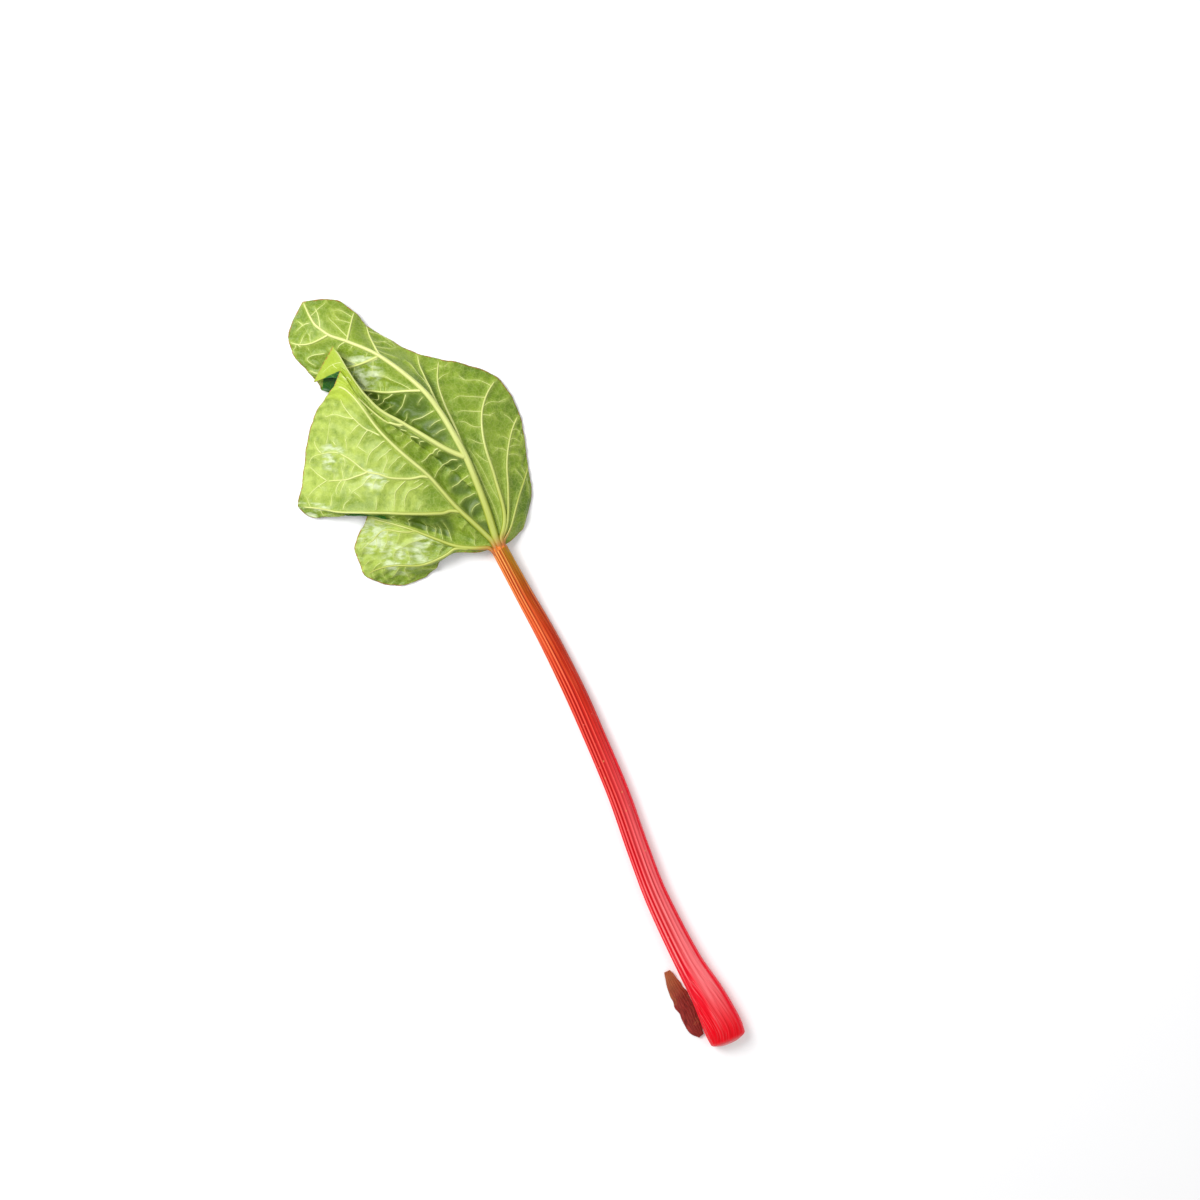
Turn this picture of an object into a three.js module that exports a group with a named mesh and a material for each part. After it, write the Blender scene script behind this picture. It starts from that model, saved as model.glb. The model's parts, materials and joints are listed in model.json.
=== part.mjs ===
// A pulled rhubarb stalk with its leaf, lying on a flat surface with the leaf's underside up.
// Millimetres, +Z up, +Y towards the leaf. The origin is on the flat under the middle of the stalk.
import * as THREE from "three";

// ---- Driving dimensions ----
const BLADE_THICKNESS = 0.8;
const BLADE_COLUMNS = 14; // cells from the midrib to the margin
const CRIMP_DEPTH = 0.9; // how far the crimped margin swings up and down
const CRIMP_LENGTH = 9; // one crimp along the margin
const CRIMP_FADE = 5; // rows over which the crimps die out at each end of the margin
const SCALLOP = 0.8; // how far the margin runs in and out between crimps

const RIB_HEIGHT = 0.42; // a rib's height over the blade, as a share of its width
const RIB_RISE = 0.12; // share of a spoke over which its rib rises out of the blade
const JUNCTION_WIDTH = 9; // the thick knuckle where the ribs meet
const TRUNK_CELLS = [0, 4, 12, 21, 31]; // ends of the first cells on a spoke from the junction
const ROUNDNESS = 0.35; // how far the margin bulges between spokes, from straight to a smooth curve
const FLANK = [0.18, 0.35]; // where a rib's foot may lie, as a share of the way to the next spoke

const STALK_RIDGES = 9;
const POINTS_PER_RIDGE = 3;
const RIDGE_HEIGHT = 0.5;
const STALK_STEPS = 46;
const STALK_CROWN = 0.58; // share of the stalk's height over its widest line
const STALK_FLAT = 0.35; // how far the lower side is pressed flat
const BASE_GROOVE = 1.4; // depth of the channel under the base
const STALK_TOP_LIFT = 5.5; // how far the leaf end stands off the surface
const STALK_LIFT_SHARE = 0.16; // share of the length over which it comes down
const BASE_ROUNDING = 5; // the pulled end rounds off over this length

const SHEATH_THICKNESS = 0.9;

// The junction of stalk and leaf, where the main ribs meet.
const JUNCTION = [-53, 98.5, 11];

// Stations along the midrib, where the left and right halves of the blade share their points.
const STATION = {
  low: [-62.5, 131, 18],
  second: [-71.5, 154.5, 22.5],
  third: [-77.5, 168.5, 24],
  fourth: [-86, 184.5, 25.5],
  fifth: [-98, 204.5, 27.5],
  sixth: [-111, 221, 28],
  seventh: [-146, 248.5, 24],
  eighth: [-172, 260.5, 18.5],
  ninth: [-187, 266, 15],
  tenth: [-192.5, 270, 13.5],
  last: [-197.5, 274, 12.2],
};
const MIDRIB_ROOT = 8; // its width at the junction
const MIDRIB_END = 1.8; // its width at the last station

// The blade is a fan of spokes, each from the junction or a station out to the margin.
// A spoke may carry a rib: [share of the spoke where it starts, width there, width at the margin].
const TIP = { route: [STATION.last, [-202, 281, 10.5], [-205.5, 287.5, 8.5], [-208.5, 293.5, 6]], rib: [0, 1.8, 1] };

// Left half, from the notch beside the stalk round to the tip.
const LEFT_HALF = [
  { route: [JUNCTION, [-69, 93.5, 12], [-83, 93.5, 13.5], [-92, 91, 10.5], [-98.5, 86.5, 7.5],
    [-103.5, 80.5, 4.5], [-111, 74.5, 1.5]] },
  { route: [JUNCTION, [-69, 94.3, 12.3], [-84, 95.7, 13.9], [-99, 86, 11], [-113.5, 79, 8], [-125, 74.5, 4.5],
    [-134, 67, 1.5]] },
  // lower rib of the basal lobe
  { route: [JUNCTION, [-69, 95.3, 12.5], [-84.5, 96.7, 14.2], [-99, 89, 13.5], [-114, 83.5, 12],
    [-136.5, 83.5, 10.5], [-152, 79.5, 6], [-160, 75, 1.5]], rib: [0.27, 3.2, 1.2] },
  { route: [JUNCTION, [-69, 95.9, 12.6], [-84.5, 97.2, 14.3], [-103.5, 95.5, 13.5], [-121.5, 95, 12],
    [-138, 93, 10.5], [-153.5, 92, 7.5], [-167, 92.5, 2]] },
  // fork of the basal lobe's upper rib
  { route: [JUNCTION, [-69, 96.4, 12.7], [-85, 97.7, 14.4], [-104, 102.5, 15], [-120, 109.5, 15.3],
    [-133, 110.5, 13.5], [-146, 108, 10], [-157, 103, 6.5], [-168, 101, 2]], rib: [0.62, 2.2, 1.2] },
  // upper rib of the basal lobe
  { route: [JUNCTION, [-69, 96.9, 12.8], [-85.5, 98.4, 14.5], [-108.5, 106.5, 15], [-127.5, 113.5, 13.5],
    [-145, 119, 10], [-158, 122.5, 6]], rib: [0, 5, 1.4] },
  { route: [JUNCTION, [-73.5, 104, 12], [-92, 111, 12], [-111, 115.5, 12.5], [-130.5, 119, 13.5],
    [-143, 122, 14], [-156.5, 126.5, 12.6]] },
  { route: [JUNCTION, [-74.3, 111.5, 15], [-94, 121, 17.8], [-103, 121, 18.8], [-119.5, 121.6, 19.5],
    [-138, 123.4, 19.6], [-157, 124.8, 18], [-180, 125.3, 12.4], [-202.5, 121.5, 2.6]] },
  // the low side rib, which the blade folds down from
  { route: [JUNCTION, [-73.7, 113.1, 16], [-88, 125.3, 20], [-101.5, 124.5, 22], [-119.5, 124, 23.5],
    [-137.5, 124.5, 24], [-156.5, 125, 22.5], [-179.5, 125.5, 17.5], [-197, 129, 9], [-214, 130.5, 1.5]],
  rib: [0.22, 3.4, 1.2] },
  // lower fork of the middle side rib
  { route: [JUNCTION, [-73.1, 113.8, 16.3], [-91.2, 128.4, 20.4], [-101, 134.5, 22], [-112, 140, 23],
    [-131, 146.5, 23.8], [-153, 151, 23], [-173, 151, 18.5], [-189, 150, 12], [-210.5, 147, 1.5]],
  rib: [0.66, 2.2, 1.2] },
  // middle side rib and its upper fork
  { route: [JUNCTION, [-72.5, 114.4, 16.4], [-90.3, 129.5, 20.6], [-99, 139, 22.7], [-109, 148.5, 24.4],
    [-122, 152.5, 24.9], [-138, 154.5, 25], [-156, 160, 23], [-174, 171, 18.5], [-189, 180.5, 12.5],
    [-206, 184, 2.5]],
  rib: [0.42, 3, 1.3] },
  { route: [JUNCTION, [-71.9, 115, 16.5], [-89.4, 130.5, 20.7], [-98, 140.3, 22.9], [-108, 150.5, 24.8],
    [-120.5, 160.5, 25.6], [-138, 176.5, 26.3], [-155, 191.5, 25.3], [-172, 202.5, 22], [-186, 208, 16.5],
    [-198, 206, 9]] },
  // the left main rib
  { route: [JUNCTION, [-71.3, 115.7, 16.6], [-88.4, 131.6, 20.8], [-97.2, 142, 23], [-106, 152.5, 25],
    [-131.5, 175, 27.5], [-146.5, 190.5, 28.5], [-159.5, 208.5, 29], [-169.5, 219.5, 28.5],
    [-176.5, 224, 26.5], [-183.5, 223, 21.5]],
  rib: [0, 6, 1.4] },
  // the narrow valley, and the fork on its far side
  { route: [STATION.low, [-81, 150.5, 17.5], [-102, 169, 18.5], [-124, 185.5, 21.5], [-141.5, 197, 24.5],
    [-155.5, 208, 27.2], [-165.5, 220, 28.3], [-171.5, 230, 28], [-176.5, 236.5, 26.8]], rib: [0.6, 2.2, 1.2] },
  { route: [STATION.second, [-91, 168.5, 22.5], [-110, 179, 23.6], [-128.5, 190, 25.5], [-144.5, 201, 26.6],
    [-152.5, 208.5, 27.6], [-163, 220.5, 28.2], [-169.5, 230.5, 28], [-177.5, 240, 25.5], [-189, 237.5, 17],
    [-200, 229, 8]] },
  // the left upper rib
  { route: [STATION.third, [-89.5, 173, 24.5], [-106, 182, 25.5], [-126, 194, 26.5], [-148, 206.5, 27],
    [-160, 220, 27.3], [-167, 230.5, 27], [-171.5, 238, 26.5], [-177, 248, 24.5], [-182.5, 257, 22]],
  rib: [0, 4.8, 1.2] },
  { route: [STATION.fourth, [-107.5, 190, 22.5], [-130, 202, 20], [-147.5, 212.5, 17], [-162.5, 221.5, 14],
    [-174.5, 230.5, 11.5], [-186.5, 242, 10.5], [-191.5, 240.5, 10]] },
  { route: [STATION.fifth, [-115.5, 205, 22], [-134.5, 210.5, 16], [-154, 216, 9.5], [-170.5, 218.5, 6],
    [-182.5, 219.5, 4.6], [-194, 223, 4]] },
  { route: [STATION.sixth, [-126, 221, 23], [-139.5, 220.5, 18], [-154, 222, 12.5], [-169.5, 224, 7.5],
    [-182.5, 225, 4.5], [-198, 229.5, 2.5]], rib: [0, 2.6, 1] },
  { route: [STATION.seventh, [-159.5, 243.5, 17.5], [-173, 240, 12], [-185.5, 237.5, 7], [-197, 236.5, 4.5],
    [-207, 240, 2.5]], rib: [0, 2.4, 1] },
  { route: [STATION.eighth, [-179.5, 256, 14.5], [-190, 251.5, 10], [-202.5, 248, 6], [-215, 248, 2.5]] },
  { route: [STATION.ninth, [-194.5, 262.5, 12.5], [-203.5, 259.5, 9], [-213, 259.5, 5.5], [-221, 262, 2.5]],
    rib: [0, 2, 1] },
  { route: [STATION.tenth, [-201, 270, 11], [-210, 272, 7.5], [-218.5, 277, 4]] },
  TIP,
];

// Right half, which slopes away from the midrib, from the notch round to the tip.
const RIGHT_HALF = [
  { route: [JUNCTION, [-47.5, 100, 10], [-42, 103.5, 8], [-37.5, 108, 5], [-33.5, 113.5, 2]] },
  { route: [JUNCTION, [-45, 106.5, 11], [-36.5, 117, 9.5], [-30, 129.5, 6.5], [-26.5, 139, 2]] },
  { route: [JUNCTION, [-45, 109, 12], [-38.5, 131.5, 11.5], [-34, 147.5, 8], [-29.5, 163, 2]],
    rib: [0, 3, 1.2] },
  { route: [JUNCTION, [-46.5, 113, 13.5], [-45, 139, 14.5], [-46, 165.5, 12.5], [-43, 188, 8], [-36.5, 206, 2]],
    rib: [0, 3.4, 1.2] },
  { route: [JUNCTION, [-47.5, 119.5, 14.5], [-55, 151, 18], [-64, 181, 18], [-66, 203, 14.5], [-62, 220, 9],
    [-54, 234, 2]], rib: [0, 5, 1.2] },
  { route: [STATION.low, [-66, 158, 19.5], [-76, 187, 20], [-82, 208, 17], [-84, 226, 11], [-77, 244, 2]] },
  { route: [STATION.second, [-80, 182, 22], [-89, 206, 18.5], [-94, 226, 12], [-91, 247, 2]] },
  { route: [STATION.third, [-86, 190, 22.5], [-95, 210, 18.5], [-101, 229, 12], [-101, 248.5, 2.5]],
    rib: [0, 2.8, 1] },
  { route: [STATION.fourth, [-95, 204, 22], [-103, 221, 16], [-108, 236, 9.5], [-109, 251, 2]] },
  { route: [STATION.fifth, [-105, 219, 22], [-111, 232, 15], [-116, 243, 8.5], [-118, 253, 2]],
    rib: [0, 2.6, 1] },
  { route: [STATION.sixth, [-116, 231, 22], [-121, 241, 14.5], [-126, 250, 8], [-129, 258, 2]] },
  { route: [STATION.seventh, [-150, 255, 18], [-154, 262, 12], [-157, 269, 8], [-159, 276, 4]],
    rib: [0, 2.2, 1] },
  { route: [STATION.eighth, [-171, 268, 15], [-170, 275, 11], [-169, 281, 8], [-168, 286, 5]],
    rib: [0, 2, 1] },
  { route: [STATION.ninth, [-185, 274, 13], [-182.5, 282, 10], [-180.5, 289, 7], [-179.5, 294.5, 4.5]] },
  { route: [STATION.tenth, [-191, 279, 12.5], [-190.5, 287.5, 9.5], [-191, 296, 6]] },
  TIP,
];

// The stalk from the leaf down to the pulled base: [x, y, width, height].
const STALK_PLACES = [
  [-51.6, 95.8, 12.6, 11],
  [-31.5, 58.5, 13.8, 12],
  [-12.3, 23.5, 15.6, 13],
  [7.2, -15.5, 16.6, 14],
  [19.2, -42, 16.8, 14.2],
  [41.6, -95.5, 17, 14.6],
  [57.7, -140.5, 17.4, 15],
  [72.5, -179.5, 18.2, 15.4],
  [98, -231.5, 21.5, 16.4],
  [114.8, -260.5, 27, 17.4],
  [126, -284, 30.5, 17.8],
  [131.5, -297, 28, 15],
];

// The dry sheath beside the base, from its root to its frayed end: [x, y, z, width, arch].
const SHEATH_PLACES = [
  [109, -292, 2.6, 5, 0.3],
  [104.5, -286.5, 1.6, 12, 0.9],
  [98.5, -274, 1.2, 14, 1.2],
  [89, -256, 1.2, 13, 1.2],
  [81.5, -240.5, 2.6, 5, 0.3],
];

// ---- Helpers ----

const point = (p) => new THREE.Vector3(...p);
const clamp01 = (x) => Math.min(1, Math.max(0, x));
const smooth = (x) => clamp01(x) ** 2 * (3 - 2 * clamp01(x));
const curve = (points) => new THREE.CatmullRomCurve3(points, false, "centripetal");

// A named mesh of points and triangles.
function mesh(name, { points, triangles }, color, roughness) {
  const geometry = new THREE.BufferGeometry().setFromPoints(points).setIndex(triangles);
  geometry.computeVertexNormals();
  const made = new THREE.Mesh(
    geometry,
    new THREE.MeshStandardMaterial({ color, roughness, metalness: 0, flatShading: true }),
  );
  made.name = name;
  return made;
}

// A loft through rings of equal length, closed by a fan at each end.
function loft(rings) {
  const n = rings[0].length;
  const points = rings.flat();
  const triangles = [];
  for (let r = 0; r + 1 < rings.length; r++)
    for (let i = 0; i < n; i++) {
      const [a, b] = [r * n + i, r * n + ((i + 1) % n)];
      triangles.push(a, b, b + n, a, b + n, a + n);
    }
  for (const [ring, turn] of [[0, false], [rings.length - 1, true]]) {
    const middle = points.length;
    points.push(rings[ring].reduce((sum, p) => sum.add(p), new THREE.Vector3()).divideScalar(n));
    for (let i = 0; i < n; i++) {
      const [a, b] = [ring * n + i, ring * n + ((i + 1) % n)];
      triangles.push(middle, ...(turn ? [a, b] : [b, a]));
    }
  }
  return { points, triangles };
}

// ---- Leaf ----

// The midrib's width at a distance from the junction, as a share of its length.
const midribWidth = (share) => THREE.MathUtils.lerp(MIDRIB_ROOT, MIDRIB_END, share ** 0.8);

// A spoke's points. From a station the first cell is as wide as half the midrib, and from the junction
// the first cells have the same lengths on each spoke. The others are even.
function spokePoints({ route }, share) {
  const line = curve(route.map(point));
  const length = line.getLength();
  const fixed = share ? [0, midribWidth(share) / 2] : TRUNK_CELLS;
  const [from, count] = [fixed[fixed.length - 1], BLADE_COLUMNS + 1 - fixed.length];
  const even = Array.from({ length: count }, (_, c) => from + ((length - from) * (c + 1)) / count);
  return [...fixed, ...even].map((d) => line.getPointAt(Math.min(1, d / length)));
}

// How wide a spoke's rib is at a column, or 0 where it has none.
function ribWidth({ rib }, column) {
  if (!rib) return 0;
  const [start, root, end] = rib;
  const along = column / BLADE_COLUMNS;
  const out = start ? smooth((along - start) / RIB_RISE + 1) : 1;
  return out * THREE.MathUtils.lerp(root, end, clamp01((along - start) / (1 - start)));
}

// One half of the blade as rows of { at, raise } from the midrib to the margin.
// A spoke with a rib has a row at each side of it, at the rib's foot. So has each spoke from a station,
// because both halves need the same points on the midrib.
function halfRows(half) {
  const starts = half.map(({ route }) => point(route[0]));
  const travelled = starts.map((_, k) =>
    starts.slice(1, k + 1).reduce((sum, p, i) => sum + p.distanceTo(starts[i]), 0),
  );
  const shares = travelled.map((t) => t / travelled[travelled.length - 1]);
  const drawn = half.map((spoke, k) => spokePoints(spoke, shares[k]));
  const columns = drawn[0].map((_, c) => curve(drawn.map((row) => row[c])));
  const last = half.length - 1;
  const leaving = travelled.lastIndexOf(0); // the last spoke from the junction
  const spine = curve(starts.slice(leaving));
  const placeOn = (column, c, k) => {
    if (!c) return spine.getPoint(Math.max(0, k - leaving) / (last - leaving));
    const [before, after] = [Math.floor(k), Math.ceil(k)];
    const straight = drawn[before][c].clone().lerp(drawn[after][c], k - before);
    return straight.lerp(column.getPoint(k / last), ROUNDNESS * smooth(c / BLADE_COLUMNS));
  };
  const row = (k, side) =>
    columns.map((column, c) => {
      const width = ribWidth(half[k], c);
      const next = THREE.MathUtils.clamp(k + side, 0, last);
      const room = drawn[k][c].distanceTo(drawn[next][c]);
      const step = c ? THREE.MathUtils.clamp(width / 2 / Math.max(room, 1), ...FLANK) : FLANK[0];
      const at = placeOn(column, c, THREE.MathUtils.clamp(k + side * step, 0, last));
      return { at, raise: side ? 0 : RIB_HEIGHT * width };
    });
  const between = (k) => columns.map((column, c) => ({ at: placeOn(column, c, k + 0.5), raise: 0 }));
  const rows = [];
  half.forEach((spoke, k) => {
    const flanked = spoke.rib || travelled[k] > 0;
    if (flanked && k) rows.push(row(k, -1));
    rows.push(row(k, 0));
    if (flanked && k < last) rows.push(row(k, 1));
    if (k < last) rows.push(between(k));
  });
  for (const line of rows) {
    const share = line[0].at.distanceTo(starts[0]) / starts[last].distanceTo(starts[0]);
    line[0].raise = RIB_HEIGHT * (share ? midribWidth(share) : JUNCTION_WIDTH);
  }
  return rows;
}

// The margin's crimps: the outer cells swing up and down, in and out, along the edge.
// They die out towards both ends of the half.
function crimp(rows) {
  let along = 0;
  rows.forEach((row, r) => {
    const edge = row[BLADE_COLUMNS].at.clone();
    if (r) along += edge.distanceTo(rows[r - 1][BLADE_COLUMNS].base);
    row[BLADE_COLUMNS].base = edge;
    const turn = (along / CRIMP_LENGTH) * 2 * Math.PI;
    const fade = smooth(r / CRIMP_FADE) * smooth((rows.length - 1 - r) / CRIMP_FADE);
    const inward = row[BLADE_COLUMNS - 1].at.clone().sub(edge).normalize();
    row[BLADE_COLUMNS].at.addScaledVector(inward, fade * SCALLOP * (1 - Math.cos(turn * 0.5)) / 2);
    row.forEach(({ at }, c) => {
      at.z = Math.max(at.z + fade * CRIMP_DEPTH * (c / BLADE_COLUMNS) ** 4 * Math.sin(turn), BLADE_THICKNESS);
    });
  });
  return rows;
}

// Both halves as one sheet, welded along the midrib.
function leafSheet() {
  const points = [];
  const raises = [];
  const triangles = [];
  const places = new Map();
  const place = ({ at, raise }) => {
    const key = at.toArray().map((v) => v.toFixed(3)).join();
    if (!places.has(key)) {
      places.set(key, points.push(at) - 1);
      raises.push(raise);
    }
    return places.get(key);
  };
  for (const [half, turn] of [[LEFT_HALF, false], [RIGHT_HALF, true]]) {
    const rows = crimp(halfRows(half)).map((row) => row.map(place));
    for (let r = 0; r + 1 < rows.length; r++)
      for (let c = 0; c < BLADE_COLUMNS; c++) {
        const [a, b, d, e] = [rows[r][c], rows[r][c + 1], rows[r + 1][c + 1], rows[r + 1][c]];
        for (const [i, j, k] of [[a, b, d], [a, d, e]])
          if (i !== j && j !== k && i !== k) triangles.push(turn ? [i, j, k] : [i, k, j]);
      }
  }
  return { points, raises, triangles };
}

// The upward normal at each point of the sheet.
function sheetNormals({ points, triangles }) {
  const normals = points.map(() => new THREE.Vector3());
  for (const [i, j, k] of triangles) {
    const across = points[j].clone().sub(points[i]).cross(points[k].clone().sub(points[i]));
    for (const v of [i, j, k]) normals[v].add(across);
  }
  return normals.map((n) => n.normalize());
}

// The leaf: the sheet thickened, both faces split alike, its ribs raised from the upper face.
function leaf() {
  const sheet = leafSheet();
  const normals = sheetNormals(sheet);
  const n = sheet.points.length;
  const half = BLADE_THICKNESS / 2;
  const upper = sheet.points.map((p, i) => p.clone().addScaledVector(normals[i], half + sheet.raises[i]));
  const lower = sheet.points.map((p, i) => p.clone().addScaledVector(normals[i], -half));
  const triangles = [];
  const open = new Map();
  for (const [i, j, k] of sheet.triangles) {
    triangles.push(i, j, k, k + n, j + n, i + n);
    for (const [a, b] of [[i, j], [j, k], [k, i]])
      if (!open.delete(b + "," + a)) open.set(a + "," + b, [a, b]);
  }
  for (const [a, b] of open.values()) triangles.push(b, a, a + n, b, a + n, b + n);
  return { points: [...upper, ...lower], triangles };
}

// ---- Stalk ----

// One ring of the stalk: ridged over its round upper side, pressed flat below.
function stalkRing(at, side, half, tall, lift, groove) {
  const around = STALK_RIDGES * POINTS_PER_RIDGE;
  return Array.from({ length: around }, (_, i) => {
    const angle = (i / around) * 2 * Math.PI - Math.PI / 2;
    const [c, v] = [Math.cos(angle), Math.sin(angle)];
    const ridge = i % POINTS_PER_RIDGE && v > -0.5 ? RIDGE_HEIGHT : 0;
    const across = Math.sign(c) * Math.abs(c) ** 0.85 * (half + ridge);
    const below = (1 - STALK_CROWN) * tall;
    const up = v > 0 ? v ** 0.9 * (STALK_CROWN * tall + ridge) : -(Math.abs(v) ** 0.7) * below;
    const hollow = v < 0 ? groove * Math.max(0, 1 - 2.2 * Math.abs(c)) : 0;
    return at.clone().addScaledVector(side, across).setZ(Math.max(lift + below + up - STALK_FLAT + hollow, 0));
  });
}

function stalk() {
  const route = curve(STALK_PLACES.map(([x, y]) => new THREE.Vector3(x, y, 0)));
  const sizes = curve(STALK_PLACES.map(([, , width, height], i) => new THREE.Vector3(width, height, 9 * i)));
  const length = route.getLength();
  const rings = Array.from({ length: STALK_STEPS + 1 }, (_, s) => {
    const u = s / STALK_STEPS;
    const at = route.getPointAt(u);
    const along = route.getTangentAt(u);
    const side = new THREE.Vector3(-along.y, along.x, 0).normalize();
    const size = sizes.getPoint(route.getUtoTmapping(u));
    const round = Math.min(1, Math.sqrt(((1 - u) * length) / BASE_ROUNDING + 0.3));
    const lift = STALK_TOP_LIFT * (1 - smooth(u / STALK_LIFT_SHARE));
    const groove = BASE_GROOVE * smooth((u - 0.8) / 0.2);
    return stalkRing(at, side, (size.x / 2) * round, size.y * round, lift, groove);
  });
  return loft(rings);
}

// ---- Dry sheath ----

// An arched scale of dry skin, thin and closed all round.
function sheath() {
  const places = SHEATH_PLACES.map(([x, y, z]) => new THREE.Vector3(x, y, z));
  const across = [-1, -0.5, 0, 0.5, 1];
  const rings = SHEATH_PLACES.map(([, , , width, arch], i) => {
    const along = places[Math.min(i + 1, places.length - 1)].clone().sub(places[Math.max(i - 1, 0)]);
    const side = new THREE.Vector3(-along.y, along.x, 0).normalize();
    const face = (s, sign) =>
      places[i].clone().addScaledVector(side, (s * width) / 2)
        .setZ(places[i].z + arch * (1 - s * s) + (sign * SHEATH_THICKNESS) / 2);
    return [...across.map((s) => face(s, -1)), ...across.toReversed().map((s) => face(s, 1))];
  });
  return loft(rings);
}

// ---- Assembly ----

const root = new THREE.Group();
root.add(
  mesh("stalk", stalk(), "#c4142f", 0.4),
  mesh("leaf", leaf(), "#8fb044", 0.5),
  mesh("dry_sheath", sheath(), "#8f5040", 0.8),
);

export default root;
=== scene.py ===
"""The looks of a rhubarb stalk and its leaf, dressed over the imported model.

The stalk lies on its side with the underside of the leaf up. Sizes are worked out in
millimetres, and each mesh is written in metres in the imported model's own frame.
"""

import json
import logging
import math
from dataclasses import dataclass, field
from enum import Enum
from typing import Any, Iterable, Sequence

import bpy
import numpy as np
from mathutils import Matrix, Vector, noise

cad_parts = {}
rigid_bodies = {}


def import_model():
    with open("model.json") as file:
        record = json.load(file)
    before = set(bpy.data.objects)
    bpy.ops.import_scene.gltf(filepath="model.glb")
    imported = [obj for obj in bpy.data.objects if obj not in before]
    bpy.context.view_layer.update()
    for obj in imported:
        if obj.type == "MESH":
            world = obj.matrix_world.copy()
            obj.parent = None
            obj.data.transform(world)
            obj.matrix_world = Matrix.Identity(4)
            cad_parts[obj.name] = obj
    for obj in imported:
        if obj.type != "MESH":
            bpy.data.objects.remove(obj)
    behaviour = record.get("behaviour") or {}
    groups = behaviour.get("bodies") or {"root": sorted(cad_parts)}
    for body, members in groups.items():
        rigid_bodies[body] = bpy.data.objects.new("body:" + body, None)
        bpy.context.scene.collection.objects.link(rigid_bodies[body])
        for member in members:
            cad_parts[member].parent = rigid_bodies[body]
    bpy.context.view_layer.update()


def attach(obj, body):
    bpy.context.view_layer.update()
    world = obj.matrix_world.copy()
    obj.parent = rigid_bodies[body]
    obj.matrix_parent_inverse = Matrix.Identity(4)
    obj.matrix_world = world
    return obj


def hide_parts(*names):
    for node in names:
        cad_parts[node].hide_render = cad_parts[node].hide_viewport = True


Array = np.ndarray
Pair = tuple[float, float]
Triple = tuple[float, float, float]
Colour = tuple[float, float, float, float]
Stops = Sequence[tuple[float, Colour]]
Socket = bpy.types.NodeSocket
Object = bpy.types.Object
Material = bpy.types.Material

LOG = logging.getLogger("rhubarb")
MM = 0.001
ROOT_BODY = "root"
RANDOM_SEED = 41

# Points nearer to each other than this many millimetres are taken as one.
SAME_POINT = 1e-6

# A vector shorter than this is divided by this, so that nothing is divided by zero.
LEAST_LENGTH = 1e-9

# The curve that a screen's values follow, from a stored value to its light.
SCREEN_FULL = 255.0
SCREEN_KNEE = 0.04045
SCREEN_SLOPE = 12.92
SCREEN_OFFSET = 0.055
SCREEN_POWER = 2.4


# ---------------------------------------------------------------- numbers and curves


def smooth(x: Array | float) -> Array | float:
    """Ease from 0 to 1 with no slope at either end."""
    held = np.clip(x, 0.0, 1.0)
    return held * held * (3.0 - 2.0 * held)


def unit(vectors: Array) -> Array:
    """Vectors along the last axis, each made one long."""
    size = np.linalg.norm(vectors, axis=-1, keepdims=True)
    return vectors / np.maximum(size, LEAST_LENGTH)


def travelled_along(line: Array) -> Array:
    """How far along a line of points each of them lies."""
    steps = np.linalg.norm(np.diff(line, axis=0), axis=1)
    return np.concatenate([[0.0], np.cumsum(steps)])


def read_line(line: Array, travelled: Array, distances: Array) -> Array:
    """Points of a line at some distances along it, with the distances of its own points given."""
    return np.column_stack([np.interp(distances, travelled, one) for one in line.T])


def noise_at(places: Iterable[Sequence[float]], scale: float = 1.0) -> Array:
    """Smooth noise, from about -1 to 1, at each place after scaling."""
    return np.array([noise.noise(Vector(place) * scale) for place in places])


def noise_row(places: Array, seed: Pair) -> Array:
    """Smooth noise along one way, with two more numbers to tell one row of it from another."""
    return noise_at((place, *seed) for place in places)


def rgb(red: int, green: int, blue: int) -> Colour:
    """A colour given as screen values from 0 to 255, as the linear colour a shader takes.

    Args:
        red: The screen value of red.
        green: The screen value of green.
        blue: The screen value of blue.

    Returns:
        Linear red, green, blue and an alpha of 1.
    """
    parts = []
    for value in (red, green, blue):
        share = value / SCREEN_FULL
        curved = ((share + SCREEN_OFFSET) / (1.0 + SCREEN_OFFSET)) ** SCREEN_POWER
        parts.append(share / SCREEN_SLOPE if share <= SCREEN_KNEE else curved)
    return (parts[0], parts[1], parts[2], 1.0)


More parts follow.
